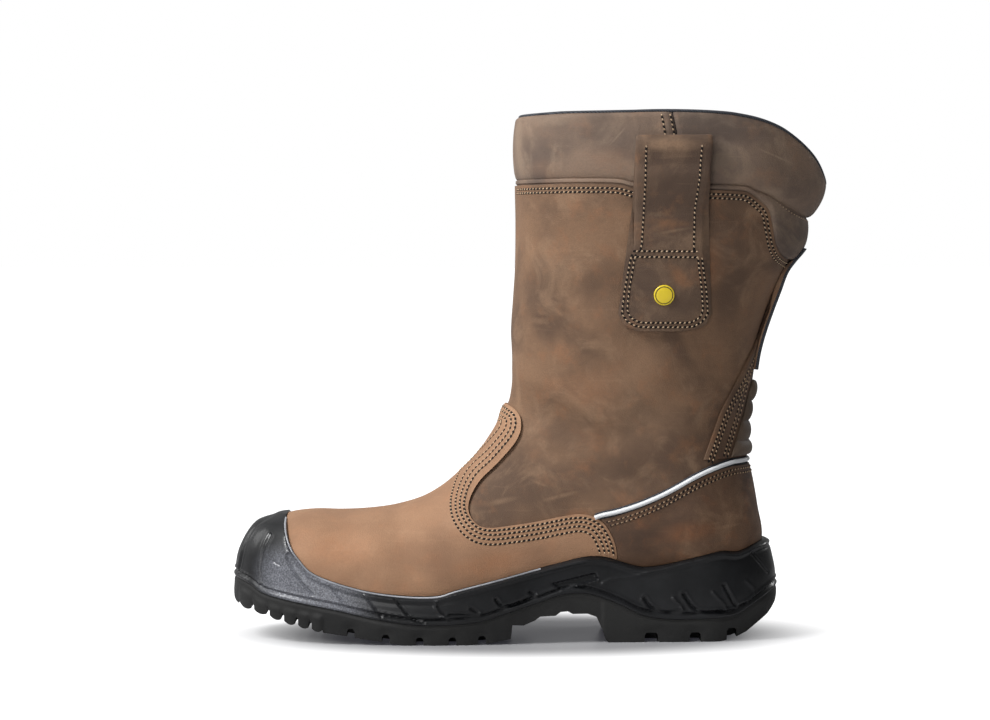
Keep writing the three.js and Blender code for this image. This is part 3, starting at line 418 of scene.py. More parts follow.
def place_for(x, z):
    """Where on the form a place of the side view is: its section and its turn."""
    x, z = np.asarray(x, float), np.asarray(z, float)
    low, high = np.zeros(x.shape), np.full(x.shape, float(LAST_ROW))
    for _ in range(40):
        middle = (low + high) / 2
        row = form_row(middle)
        line_x, line_z = row[..., 2] - row[..., 0], row[..., 3] - row[..., 1]
        above = -(line_x * (z - row[..., 1]) - line_z * (x - row[..., 0])) > 0
        high = np.where(above, middle, high)
        low = np.where(above, low, middle)
    at = (low + high) / 2
    row = form_row(at)
    line_x, line_z = row[..., 2] - row[..., 0], row[..., 3] - row[..., 1]
    share = ((x - row[..., 0]) * line_x + (z - row[..., 1]) * line_z) / (line_x ** 2 + line_z ** 2)
    share = np.clip(share, 0.001, 0.999)
    widest = row[..., 6]
    ahead = np.arccos(np.clip(1 - share / widest, 0, 1) ** (row[..., 7] / 2))
    behind = math.pi - np.arccos(np.clip((share - widest) / (1 - widest), 0, 1) ** (row[..., 8] / 2))
    return at, np.where(share < widest, ahead, behind)


def on_side(x, z, side, off):
    """The place of a side view point on the outer or inner side."""
    at, turn = place_for(x, z)
    return skin(at, turn if side == LATERAL else -turn, off)


def at_level(z, turn, off):
    """The place at a given height and turn, for what wraps round the shaft."""
    z, turn = np.broadcast_arrays(np.asarray(z, float), np.asarray(turn, float))
    low, high = np.full(z.shape, float(INSTEP_ROW)), np.full(z.shape, float(LAST_ROW))
    for _ in range(36):
        middle = (low + high) / 2
        above = form_point(middle, turn)[..., 2] > z
        high = np.where(above, middle, high)
        low = np.where(above, low, middle)
    return skin((low + high) / 2, turn, off)


def make(name, points, faces, bend=35):
    """A piece from millimetre points, smooth apart from edges sharper than bend degrees."""
    mesh = bpy.data.meshes.new(name)
    placed = (np.asarray(points, float) - [SHIFT, 0, 0]) * MM
    mesh.from_pydata(placed.tolist(), [], [tuple(int(k) for k in face) for face in faces])
    mesh.validate()
    mesh.shade_smooth()
    mesh.set_sharp_from_angle(angle=math.radians(bend))
    piece = bpy.data.objects.new(name, mesh)
    bpy.context.collection.objects.link(piece)
    return piece


def loft_faces(rows, count, round_it=False):
    faces = []
    for i in range(rows if round_it else rows - 1):
        here, after = i * count, ((i + 1) % rows) * count
        for j in range(count):
            k = (j + 1) % count
            faces.append((here + j, here + k, after + k, after + j))
    return faces


def loft(name, rings, round_it=False, bend=35):
    """A closed skin through rings of equal length, ended by fans or joined round."""
    rings = np.asarray(rings, float)
    rows, count = rings.shape[:2]
    points = rings.reshape(-1, 3)
    faces = loft_faces(rows, count, round_it)
    if not round_it:
        for ring, start, back in ((rings[0], 0, True), (rings[-1], (rows - 1) * count, False)):
            points = np.vstack([points, ring.mean(0)[None]])
            for j in range(count):
                k = (j + 1) % count
                faces.append((len(points) - 1, start + (k if back else j), start + (j if back else k)))
    corners = [(face[0], face[i], face[i + 1]) for face in faces for i in range(1, len(face) - 1)]
    a, b, c = points[np.array(corners)].transpose(1, 0, 2)
    if np.einsum("ij,ij->i", a, np.cross(b, c)).sum() < 0:
        faces = [face[::-1] for face in faces]
    return make(name, points, faces, bend)


def prism(points, near_y=-SIDE_REACH, far_y=SIDE_REACH):
    """A side view outline carried straight across the boot."""
    points = np.asarray(points, float)
    near = np.column_stack([points[:, 0], np.full(len(points), near_y), points[:, 1]])
    far = np.column_stack([points[:, 0], np.full(len(points), far_y), points[:, 1]])
    count = len(points)
    faces = [tuple(range(count)), tuple(range(2 * count - 1, count - 1, -1))]
    faces += [(j, count + j, count + (j + 1) % count, (j + 1) % count) for j in range(count)]
    x, z = points.T
    if (x * np.roll(z, -1) - np.roll(x, -1) * z).sum() < 0:
        faces = [face[::-1] for face in faces]
    return make("cutter", np.vstack([near, far]), faces)


def band(lower, upper):
    return prism(np.vstack([lower, upper[::-1]]))


def level_line(height):
    return np.array([(-2 * SOLE_LENGTH, height), (2 * SOLE_LENGTH, height)])


def cut(piece, cutter, operation="DIFFERENCE", bend=35):
    """Takes the cutter away from the piece, or keeps only what they share."""
    step = piece.modifiers.new("cut", "BOOLEAN")
    step.operation = operation
    step.solver = "MANIFOLD"
    step.object = cutter
    seen = bpy.context.evaluated_depsgraph_get()
    seen.update()
    mesh = bpy.data.meshes.new_from_object(piece.evaluated_get(seen))
    piece.modifiers.clear()
    piece.data = mesh
    mesh.shade_smooth()
    mesh.set_sharp_from_angle(angle=math.radians(bend))
    bpy.data.objects.remove(cutter)
    return piece


def form_solid(name, first, last, off, rows, turns):
    at = np.linspace(first, last, rows)[:, None]
    turn = np.linspace(0, 2 * math.pi, turns, endpoint=False)[None, :]
    return loft(name, skin(at, turn, off))


def dress(piece, slot, *materials):
    piece.data.materials.clear()
    for material in materials:
        piece.data.materials.append(material)
    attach(piece, "root")
    return piece


def leather(name, body, dark, light, warm, rough=0.66, seed=0.0, marks=(), clouds=1.0):
    """Waxed leather: clouds of wax, patches of pull-up, fine scratches, pores and a tight grain.

    Marks are darker, lighter and warmer places on the outer side. Some are stains, pull-up and scuffs of
    the worn hide; some are painted shade in folds, beside the pull loop and towards the back, and some
    painted highlights. Each gives the colour, where it is seen from the side, its half sizes in
    millimetres, how it leans and how strong it is.
    """
    finish = Finish(name)
    shifted = finish.stretched((0, 0, 0), (1, 1, 1), (seed, seed * 0.7, seed * 1.3))
    cloud = finish.step(finish.noise(15.0, 5.0, 0.55, 0.4, shifted), 0.36, 0.62)
    patch = finish.step(finish.noise(38.0, 6.0, 0.62, 0.8, shifted), 0.48, 0.68)
    rub = finish.step(finish.noise(70.0, 5.0, 0.65, 0.2, shifted), 0.50, 0.74)
    long_way = finish.stretched((0.3, 0.5, 0.4), (30, 30, 420), (seed, 0, 0))
    cross_way = finish.stretched((0.2, -0.9, 0.1), (22, 22, 380), (0, seed, 0))
    scratch = (finish.step(finish.noise(1.0, 3.0, 0.5, 0.3, long_way), 0.64, 0.72)
               + finish.step(finish.noise(1.0, 3.0, 0.5, 0.3, cross_way), 0.66, 0.74))
    fleck = finish.noise(900.0, 3.0, 0.7)
    colour = finish.blend((1.0 - cloud) * clouds, body, dark)
    colour = finish.blend(patch * 0.40 * clouds, colour, light)
    colour = finish.blend(rub * 0.45 * clouds, colour, warm)
    ragged = finish.step(finish.noise(160.0, 5.0, 0.7, 0.5, shifted), 0.30, 0.62)
    paints = {"dark": dark, "light": light, "warm": warm}
    for paint_name, along, up, half_long, half_high, lean, strength in marks:
        centre = (SOLE_LENGTH * (along - 0.5) * MM - SHIFT * MM, -0.055, BOOT_HEIGHT * up * MM)
        place = finish.spot(centre, (half_long * MM, 0.045, half_high * MM), lean, 0.85)
        colour = finish.blend(place * (0.40 + ragged * 0.42) * strength, colour, paints[paint_name])
    colour = finish.blend(scratch * 0.10, colour, light)
    colour = finish.blend(finish.step(fleck, 0.35, 0.75, 0.0, 0.25), colour, dark)
    grain = finish.node("ShaderNodeTexVoronoi", {"feature": "DISTANCE_TO_EDGE"}, {
        "Vector": finish.place, "Scale": 950.0, "Randomness": 1.0})
    normal = finish.relief(
        (finish.noise(60.0, 4.0, 0.5), 0.0012, 0.35),
        (finish.step(grain, 0.0, 0.25), 0.00016, 0.40),
        (finish.noise(2400.0, 2.0, 0.6), 0.00010, 0.35))
    glow = finish.step(cloud + rub * 0.5, 0.0, 1.5, rough + 0.10, rough - 0.10)
    return finish.done(Base_Color=colour, Roughness=glow, Normal=normal,
                       Specular_IOR_Level=0.28, Sheen_Weight=0.05, Sheen_Roughness=0.5)


# The dark marks at the ankle fold (0.612 along) and beside the front of the pull loop (0.700 along) are
# painted shade.
SHAFT_MARKS = [
    ("dark", 0.612, 0.390, 27, 15, 8, 0.95), ("dark", 0.566, 0.775, 13, 20, 0, 0.75),
    ("dark", 0.700, 0.620, 16, 26, 0, 0.45), ("dark", 0.905, 0.640, 12, 34, 20, 0.7),
    ("dark", 0.545, 0.270, 30, 14, -12, 0.6), ("dark", 0.930, 0.420, 12, 26, -25, 0.6),
    ("warm", 0.650, 0.470, 28, 18, 0, 0.5), ("warm", 0.860, 0.700, 14, 20, 0, 0.7),
    ("warm", 0.585, 0.480, 10, 8, 0, 0.6), ("light", 0.590, 0.700, 20, 16, 0, 0.45),
    ("light", 0.745, 0.420, 24, 22, 0, 0.35), ("light", 0.492, 0.262, 14, 2.6, -12, 0.6),
    ("light", 0.600, 0.272, 15, 1.8, -14, 0.6), ("light", 0.560, 0.296, 10, 1.2, 22, 0.4),
    ("light", 0.545, 0.860, 30, 5, 0, 0.4),
]
shaft_leather = leather(
    "shaft_leather", paint(138, 107, 82), paint(98, 77, 62), paint(166, 134, 106),
    paint(150, 104, 72), marks=SHAFT_MARKS)
shaft_edge = smooth(on_plan(SHAFT_EDGE), 8)
footbed_line = smooth(on_plan(FOOTBED_LINE), 3)
upper = form_solid("upper_leather", 0, LAST_ROW, 0, 270, 176)
cut(upper, form_solid("inside", 0, LAST_ROW, -WALL, 120, 96))
cut(upper, band(footbed_line, shaft_edge), "INTERSECT")
dress(upper, "shaft_leather", shaft_leather)
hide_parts("upper")

# Threads are waxed twine in a lockstitch: a bright slanting bead between two needle holes, each a small
# near-black disc that is painted shade of the hole.
# Every row of them is one joined mesh, and they lie half sunk in the leather.
PITCH = 2.7
THREAD_LENGTH = 1.3
THREAD_RADIUS = 0.35
HOLE_RADIUS = 0.94
HOLE_RISE = 0.22
HOLE_SINK = 0.3
SLANT = 0.30
# Places along a bead, and how fat it is there.
BEAD = [(-0.5, 0.35), (-0.3, 0.9), (0.0, 1.0), (0.3, 0.9), (0.5, 0.35)]
BEAD_SIDES = 6


def twine(name, dark, light, rough):
    finish = Finish(name)
    fibre = finish.noise(1800.0, 2.0, 0.5)
    return finish.done(Base_Color=finish.blend(finish.step(fibre, 0.3, 0.7), dark, light),
                       Roughness=rough, Normal=finish.relief((fibre, 0.0002, 0.6)))


thread = twine("waxed_twine", paint(186, 154, 120), paint(222, 196, 164), 0.6)
# The dull twine is the same twine painted darker, as painted shade, for the rows on the heel counter and
# the rear panel.
painted_shade_thread = twine("painted_shade_twine", paint(160, 132, 102), paint(196, 166, 134), 0.65)
# The near-black of the needle holes, and of the collar's seam lines, is painted shade.
pit = Finish("needle_hole_shade")
hole_shade = pit.done(
    Base_Color=pit.blend(pit.noise(500.0), paint(16, 10, 8), paint(30, 20, 15)), Roughness=0.9)


def stitches(name, rows, slot, twine_finish=thread):
    """Joined beads along rows of points, each row with the directions that point out of the leather."""
    points, faces, marks = [], [], []
    for path, outward in rows:
        along = evenly(np.hstack([path, outward]), PITCH)
        for start, end in zip(along[:-1], along[1:]):
            middle = (start[:3] + end[:3]) / 2
            out = start[3:] + end[3:]
            out = out / max(np.linalg.norm(out), 1e-9)
            run = end[:3] - start[:3]
            run = run / max(np.linalg.norm(run), 1e-9)
            side = np.cross(out, run)
            run = run * math.cos(SLANT) + side * math.sin(SLANT)
            side = np.cross(out, run)
            first = len(points)
            for share, fat in BEAD:
                for k in range(BEAD_SIDES):
                    angle = 2 * math.pi * k / BEAD_SIDES
                    points.append(
                        middle + run * share * THREAD_LENGTH
                        + side * math.cos(angle) * fat * THREAD_RADIUS
                        + out * (math.sin(angle) * fat * THREAD_RADIUS + 0.10 + 0.22 * (fat - 0.7)))
            bead = loft_faces(len(BEAD), BEAD_SIDES)
            bead.append(tuple(range(BEAD_SIDES))[::-1])
            bead.append(tuple(range(len(BEAD) * BEAD_SIDES - BEAD_SIDES, len(BEAD) * BEAD_SIDES)))
            faces += [tuple(first + k for k in face) for face in bead]
            marks += [0] * len(bead)
            first = len(points)
            # The needle hole: a small near-black disc, painted shade of the hole.
            seat = start[:3]
            for k in range(BEAD_SIDES):
                angle = 2 * math.pi * k / BEAD_SIDES
                points.append(seat + HOLE_RADIUS * (
                    np.cross(out, side) * -math.cos(angle) * 1.15 + side * math.sin(angle) * 0.8))
            points.append(seat + out * HOLE_RISE)
            points.append(seat - out * HOLE_SINK)
            for k in range(BEAD_SIDES):
                after = (k + 1) % BEAD_SIDES
                faces.append((first + k, first + after, first + BEAD_SIDES))
                faces.append((first + after, first + k, first + BEAD_SIDES + 1))
            marks += [1] * (2 * BEAD_SIDES)
    piece = make(name, points, faces, 80)
    dress(piece, slot, twine_finish, hole_shade)
    piece.data.polygons.foreach_set("material_index", marks)
    return piece


def seam_rows(line, offsets, off, keep=None):
    """Rows beside a side view line, at their distances to its right, on both sides of the boot."""
    run = np.gradient(line, axis=0)
    run /= np.maximum(np.linalg.norm(run, axis=1, keepdims=True), 1e-9)
    right = np.column_stack([run[:, 1], -run[:, 0]])
    rows = []
    for offset in offsets:
        beside = evenly(line + right * offset, 1.2)
        if keep is not None:
            beside = beside[keep(beside)]
        for side in (LATERAL, MEDIAL):
            at, turn = place_for(beside[:, 0], beside[:, 1])
            turn = turn if side == LATERAL else -turn
            rows.append((skin(at, turn, off), surface(at, turn)[1]))
    return rows


fine_edge = evenly(smooth(on_plan(SHAFT_EDGE), 12), 0.8)
sewn = (fine_edge[:, 0] > SOLE_LENGTH * 0.020) & (fine_edge[:, 0] < SOLE_LENGTH * 0.520)
fine_edge = fine_edge[sewn]
stitches("shaft_edge_stitching", seam_rows(fine_edge, (2.2, 4.4), 0.05), "shaft_leather")

# The vamp is a lighter leather overlay over the forefoot and instep, cut from one piece and sewn
# to the shaft by four parallel rows along its curved back edge.
OVERLAY = 1.8
EDGE_EASE = 0.55
EDGE_WIDTH = 1.6
VAMP_EDGE = [
    (0.403, 0.443), (0.503, 0.438), (0.525, 0.421), (0.529, 0.398), (0.521, 0.374), (0.489, 0.334),
    (0.453, 0.297), (0.437, 0.269), (0.433, 0.248), (0.440, 0.230), (0.455, 0.217), (0.472, 0.214),
    (0.510, 0.218), (0.561, 0.226), (0.599, 0.234), (0.632, 0.239), (0.655, 0.236), (0.678, 0.222),
    (0.692, 0.200), (0.700, 0.178), (0.703, 0.156), (0.703, 0.100),
]
FEATHER_LINE = [
    (0.099, 0.260), (0.099, 0.220), (0.103, 0.198), (0.112, 0.175), (0.128, 0.154), (0.146, 0.135),
    (0.172, 0.122), (0.244, 0.101), (0.299, 0.093), (0.351, 0.090), (0.383, 0.092), (0.408, 0.100),
    (0.492, 0.121), (0.602, 0.150), (0.648, 0.160), (0.680, 0.159), (0.704, 0.152), (0.754, 0.139),
    (0.861, 0.161), (0.894, 0.168), (0.924, 0.166), (0.963, 0.180), (1.030, 0.193),
]
vamp_edge = smooth(on_plan(VAMP_EDGE), 8)
feather_line = smooth(on_plan(FEATHER_LINE), 6)


def height_on(line, x):
    return np.interp(x, line[:, 0], line[:, 1])


def over_shell(name, first, last, rows, turns, edge):
    """A leather layer over the form, eased down towards a side view edge."""
    at = np.linspace(first, last, rows)[:, None]
    turn = np.linspace(0, 2 * math.pi, turns, endpoint=False)[None, :]
    point = form_point(at, turn)
    far = distance_to(evenly(edge, 6.0), point[..., 0], point[..., 2])
    off = GAP + OVERLAY - EDGE_EASE * np.exp(-(far / EDGE_WIDTH) ** 2)
    shell = loft(name, skin(at, turn, off))
    return cut(shell, form_solid("under", first, last, GAP, rows // 2, turns // 2))


# The dark mark at the back edge of the vamp (0.385 along) is painted shade of a soft dip in it.
vamp_leather = leather(
    "vamp_leather", paint(170, 131, 101), paint(136, 104, 82), paint(194, 156, 124),
    paint(180, 124, 86), 0.72, 0.31, [
        ("dark", 0.385, 0.175, 12, 26, 0, 0.55), ("warm", 0.200, 0.180, 34, 16, 0, 0.5),
        ("dark", 0.240, 0.215, 30, 8, 5, 0.30), ("light", 0.280, 0.235, 40, 7, -4, 0.5),
        ("dark", 0.570, 0.170, 30, 9, -12, 0.5), ("warm", 0.480, 0.150, 30, 10, -12, 0.5),
        ("light", 0.440, 0.300, 12, 26, -40, 0.35)], 0.5)
vamp = over_shell("vamp_leather_piece", 0, HEEL_ROW, 230, 200, vamp_edge)
lower = feather_line + [GAP, GAP]
lower = lower[lower[:, 0] < vamp_edge[-1, 0]]
start = np.array([[lower[0, 0], vamp_edge[0, 1]]])
back = vamp_edge[::-1]
back = back[back[:, 1] > height_on(feather_line, back[:, 0]) + GAP]
cut(vamp, prism(np.vstack([start, lower, back])), "INTERSECT")
dress(vamp, "vamp_leather", vamp_leather)
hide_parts("vamp")


def above_sole(points):
    return points[:, 1] > height_on(feather_line, points[:, 0]) + 1.0


fine_vamp = evenly(smooth(on_plan(VAMP_EDGE[1:]), 12), 0.8)
stitches("vamp_stitching", seam_rows(
    fine_vamp, (2.0, 4.3, 6.7, 9.4), GAP + OVERLAY, keep=above_sole), "vamp_leather")

# The heel counter is a darker leather overlay round the heel, stiff and close to the form,
# with a double row of stitching under the piping that finishes its upper edge.
PIPING_RADIUS = 1.25
PIPING_LINE = [
    (0.662, 0.2325), (0.674, 0.237), (0.700, 0.243), (0.749, 0.260), (0.790, 0.279), (0.839, 0.307),
    (0.868, 0.320), (0.899, 0.330), (0.915, 0.333),
]
counter_leather = leather(
    "counter_leather", paint(116, 88, 67), paint(78, 60, 49), paint(156, 124, 96),
    paint(146, 94, 60), 0.62, 0.57, [
        ("warm", 0.830, 0.205, 24, 9, -8, 0.8), ("dark", 0.850, 0.262, 26, 12, -14, 0.6),
        ("light", 0.920, 0.232, 12, 3, 14, 0.8), ("light", 0.905, 0.215, 14, 1.6, -6, 0.9),
        ("light", 0.930, 0.262, 3, 8, 12, 0.6), ("dark", 0.955, 0.230, 10, 24, 0, 0.6)])
piping_line = smooth(on_plan(PIPING_LINE), 6)
counter = over_shell("heel_counter_leather", INSTEP_ROW, ANKLE_ROW, 150, 180, piping_line)
top = piping_line - [0, PIPING_RADIUS + 3 * GAP]
lower = feather_line + [0, GAP]
lower = lower[lower[:, 0] > SOLE_LENGTH * 0.14]
cut(counter, prism(np.vstack([lower, [[SOLE_LENGTH, top[-1, 1]]], top[::-1]])), "INTERSECT")
front = vamp_edge + [GAP, GAP]
cut(counter, prism(np.vstack([
    [[-SOLE_LENGTH, 0]], [[-SOLE_LENGTH, vamp_edge[0, 1]]], front, [[vamp_edge[-1, 0], 0]]])))
dress(counter, "vamp_leather", counter_leather)
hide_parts("heel_counter")


def behind_vamp(points):
    clear = distance_to(vamp_edge, points[:, 0], points[:, 1]) > 1.5
    past = points[:, 0] > np.interp(points[:, 1], vamp_edge[::-1, 1][:60], vamp_edge[::-1, 0][:60])
    return clear & past


counter_rows = []
for drop in (4.3, 6.6):
    line = evenly(piping_line - [0, drop], 1.0)
    line = line[behind_vamp(line)]
    sides = [on_side(line[:, 0], line[:, 1], side, GAP + OVERLAY) for side in (LATERAL, MEDIAL)]
    rear_turn = np.linspace(-0.5, 0.5, 30)
    rear = at_level(line[-1, 1], math.pi + rear_turn, GAP + OVERLAY)
    whole = np.vstack([sides[0], rear[1:-1], sides[1][::-1]])
    middle = np.array([SOLE_LENGTH * 0.33, 0, 0])
    out = (whole - middle) * [1, 1, 0]
    out /= np.linalg.norm(out, axis=1, keepdims=True)
    counter_rows.append((whole, out))
stitches("counter_stitching", counter_rows, "vamp_leather", painted_shade_thread)

# The piping is a round reflective cord, sewn in along the counter's upper edge.
# It is a knitted silver-white tape over a cord, between two dark folded edges.
PIPING_FOLD = 0.55
FOLD_DROP = PIPING_RADIUS + 0.35
REAR_TURN = 0.45
piping_side = evenly(piping_line, 2.0)


def cord_path(drop, lift):
    x, z = piping_side.T
    sides = [on_side(x, z + drop, side, lift) for side in (LATERAL, MEDIAL)]
    rear = at_level(z[-1] + drop, math.pi + np.linspace(-REAR_TURN, REAR_TURN, 24), lift)
    return smooth(evenly(np.vstack([sides[0], rear, sides[1][::-1]]), 3.0), 2)


def tube(name, path, radius, sides=12, squash=1.0, closed=False):
    """A round or flattened cord along a path, its section kept upright."""
    run = np.gradient(path, axis=0)
    if closed:
        run = np.roll(path, -1, 0) - np.roll(path, 1, 0)
    run /= np.maximum(np.linalg.norm(run, axis=1, keepdims=True), 1e-9)
    across = np.cross(run, [0, 0, 1])
    across /= np.maximum(np.linalg.norm(across, axis=1, keepdims=True), 1e-9)
    up = np.cross(across, run)
    angles = np.linspace(0, 2 * math.pi, sides, endpoint=False)
    rings = (path[:, None] + radius * squash * np.cos(angles)[None, :, None] * across[:, None]
             + radius * np.sin(angles)[None, :, None] * up[:, None])
    return loft(name, rings, closed, 60)


silver = Finish("silver_tape")
knit = silver.node("ShaderNodeTexWave", {"wave_type": "BANDS", "bands_direction": "X"}, {
    "Vector": silver.place, "Scale": 520.0, "Distortion": 1.5, "Detail": 1.0})
silver_tape = silver.done(
    Base_Color=silver.blend(
        silver.step(knit, 0.2, 0.8, 0.0, 0.5), paint(244, 246, 248), paint(212, 217, 222)),
    Roughness=0.32, Normal=silver.relief((knit, 0.0002, 0.4)))
web = Finish("dark_web")
weave = web.node("ShaderNodeTexWave", {"wave_type": "BANDS", "bands_direction": "DIAGONAL"}, {
    "Vector": web.place, "Scale": 420.0, "Distortion": 2.0, "Detail": 2.0})
dark_web = web.done(
    Base_Color=web.blend(web.step(weave, 0.2, 0.8), paint(44, 45, 50), paint(76, 79, 86)),
    Roughness=0.85, Normal=web.relief((weave, 0.0003, 0.6)))
piping = dress(tube("piping_cord", cord_path(0, 2 * GAP + PIPING_RADIUS), PIPING_RADIUS),
               "light_piping", silver_tape)
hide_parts("piping")
for name, drop in (("piping_fold_above", FOLD_DROP), ("piping_fold_below", -FOLD_DROP)):
    dress(tube(name, cord_path(drop, 0.75), PIPING_FOLD, 8), "dark_web", dark_web)

# The rear panel is a leather band up each side of the heel tendon, and the pad behind it is
# leather over foam, drawn in by four channels so that it gives when the ankle bends.
REAR_PANEL = np.array([
    (0.340, 0.858), (0.393, 0.877), (0.430, 0.890), (0.465, 0.908), (0.494, 0.924), (0.523, 0.939),
    (0.562, 0.960), (0.602, 0.975), (0.650, 0.990),
])
BACK_PAD = np.array([(0.342, 0.905), (0.387, 0.919), (0.430, 0.932), (0.469, 0.941), (0.484, 0.946)])
RIB_VALLEYS = (0.342, 0.370, 0.408, 0.4465, 0.484)


def wrap(name, table, rows, turns, inner_lift, outer_lift):
    """A band round the back between its two front edges."""
    curve = smooth(table * [BOOT_HEIGHT, SOLE_LENGTH] - [0, SOLE_LENGTH / 2], 12)
    z = np.linspace(curve[0, 0], curve[-1, 0], rows)
    edge_x = np.interp(z, curve[:, 0], curve[:, 1])
    edge = place_for(edge_x, z)[1]
    share = np.linspace(0, 1, turns)[None, :]
    turn = edge[:, None] + (2 * math.pi - 2 * edge[:, None]) * share
    z = np.repeat(z[:, None], turns, 1)
    outer = at_level(z, turn, outer_lift(z, share))
    inner = at_level(z, turn, inner_lift)
    return loft(name, np.concatenate([outer, inner[:, ::-1]], 1))


def rounded(share, sharp=14.0):
    return 1 - np.exp(-share * sharp) - np.exp(-(1 - share) * sharp)


rear_leather = leather(
    "rear_leather", paint(112, 86, 66), paint(82, 64, 52), paint(136, 108, 84), paint(132, 90, 62),
    0.62, 0.83)
rear = wrap("rear_panel_leather", REAR_PANEL, 110, 120, GAP,
            lambda z, share: GAP + OVERLAY * (0.55 + 0.45 * rounded(share, 60)))
dress(rear, "shaft_leather", rear_leather)
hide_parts("rear_panel")


def ribbed(z, share):
    """How far the pad stands off the form, with a rib between each two channels."""
    up = z / BOOT_HEIGHT
    rib = np.zeros(up.shape)
    for low, high in zip(RIB_VALLEYS[:-1], RIB_VALLEYS[1:]):
        inside = (up >= low) & (up <= high)
        swell = np.sin(math.pi * np.clip((up - low) / (high - low), 0, 1)) ** 0.55
        rib = np.where(inside, swell, rib)
    side = rounded(np.broadcast_to(share, up.shape), 12.0)
    return 2 * GAP + OVERLAY + OVERLAY * (0.55 + (0.25 + 1.2 * rib) * np.clip(side, 0, 1))


pad_leather = leather(
    "pad_leather", paint(104, 88, 74), paint(80, 68, 58), paint(124, 106, 88), paint(112, 88, 68),
    0.58, 1.2)
pad = wrap("back_pad_leather", BACK_PAD, 130, 110, 2 * GAP + OVERLAY, ribbed)
dress(pad, "shaft_leather", pad_leather)
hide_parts("back_pad")

panel_line, pad_line = (
    smooth(table[:, ::-1] * [SOLE_LENGTH, BOOT_HEIGHT] - [SOLE_LENGTH / 2, 0], 8)
    for table in (REAR_PANEL, BACK_PAD))
rear_rows = seam_rows(panel_line[:44], (2.3, 4.4), GAP + OVERLAY)
rear_rows += seam_rows(pad_line, (-2.0, -4.0), GAP + OVERLAY)
stitches("rear_stitching", rear_rows, "shaft_leather", painted_shade_thread)

# The back strip is a dark woven band on leather down the back of the shaft, sewn flat below,
# its upper end standing off under the collar. The table gives its lift in strap thicknesses.
BACK_STRIP = np.array([
    (24.4, 1.75), (25.2, 1.75), (26.0, 1.70), (26.5, 1.60), (27.0, 1.20), (27.5, 1.40), (27.95, 2.00),
])
STRAP_THICKNESS = 2.0
STRIP_HALF = 11.0
STRIP_POINTS = 22
STRIP_BACKED = 0.82
WEB_THICKNESS = 0.9
strip_curve = smooth(BACK_STRIP, 8)
strip_y = np.linspace(-STRIP_HALF, STRIP_HALF, STRIP_POINTS)
strip_rings = []
for at, lift in strip_curve:
    row = form_row(at)
    bend = math.pi + np.arcsin((np.abs(strip_y) / row[4]) ** (row[8] / 2)) * np.sign(strip_y)
    crown = 0.8 * (1 - (np.abs(strip_y) / STRIP_HALF) ** 8 * 0.5)
    face = STRAP_THICKNESS * (lift + 0.5 * crown) + GAP
    back = np.interp(at, [26.0, 26.5, 27.1, 27.5], [2 * GAP + OVERLAY, GAP, GAP, face.max() - 1.7])
    at_row = np.full(STRIP_POINTS, at)
    outer = skin(at_row, bend, face)
    inner = skin(at_row, bend, np.full(STRIP_POINTS, back))
    middle = [skin(at, bend[end], max(face[end] - WEB_THICKNESS, back + 0.05)) for end in (-1, 0)]
    strip_rings.append(np.vstack([outer, middle[:1], inner[::-1], middle[1:]]))
strip = loft("back_strip_web", strip_rings)
dress(strip, "dark_web", dark_web, shaft_leather)
ring_points = 2 * STRIP_POINTS + 2
side_faces = (len(strip_rings) - 1) * ring_points
backing = [int(STRIP_POINTS <= k % ring_points < 2 * STRIP_POINTS + 1 and k < side_faces * STRIP_BACKED)
           for k in range(len(strip.data.polygons))]
strip.data.polygons.foreach_set("material_index", backing)
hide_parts("back_strip")

# The collar is a padded cuff of soft leather over foam, tucked behind the shaft's edge.
# A low roll follows the shaft, a tall one stands over it, and a dark band binds its rim.
RIM_LINE = [
    (0.400, 0.983), (0.524, 0.987), (0.662, 0.993), (0.786, 0.998), (0.890, 0.995), (0.945, 0.987),
    (0.981, 0.975), (1.013, 0.957), (1.039, 0.937), (1.062, 0.913), (1.081, 0.887), (1.097, 0.853),
    (1.117, 0.800),
]
PUFF_SEAM = [
    (0.400, 0.857), (0.912, 0.846), (0.963, 0.834), (1.000, 0.817), (1.026, 0.802), (1.060, 0.788),
    (1.117, 0.770),
]
COLLAR_TUCK = 10.0
TUCK_DEPTH = WALL + 2 * GAP
COLLAR_STATIONS = 420
SIDE_SEAM_X = SOLE_LENGTH * 0.309
# Share of the way up from the seam to the rim, and how full the roll is there, in front and behind.
UPPER_PUFF = [
    (0.0, -0.30, -0.10), (0.03, 0.10, 0.08), (0.12, 0.62, 0.36), (0.35, 1.00, 0.68),
    (0.62, 0.97, 0.92), (0.85, 0.74, 1.02), (0.96, 0.35, 1.00),
]
# How far the bound rim lies under the rim line, by where it is along the boot, in millimetres.
RIM_DROP = np.array([
    (30.0, 2.4), (70.0, 3.8), (110.0, 4.2), (123.0, 4.4), (137.0, 5.4), (150.0, 6.8), (164.0, 8.8),
    (178.0, 10.8),
])
# The padding's inner face: share of the way up from its tucked edge to the rim, and share of its depth.
INNER_FACE = ((0.98, 0.55), (0.88, 0.90), (0.55, 1.00), (0.20, 1.0), (0.0, 1.0))
PROFILE_SPANS = 5
BINDING_RADIUS = 1.0
SEAM_RADIUS = 0.45
rim_line = smooth(on_plan(RIM_LINE), 6)
puff_seam = smooth(on_plan(PUFF_SEAM), 6)


def level_point(z, turn, off):
    """A place off the shaft's form by its height, without the folds."""
    at = FIRST_LEVEL_ROW + (z - BOOT_HEIGHT * 0.69) / (BOOT_HEIGHT * 0.05)
    point, outward = surface(at, turn)
    return point + outward * np.asarray(off, float)[..., None]


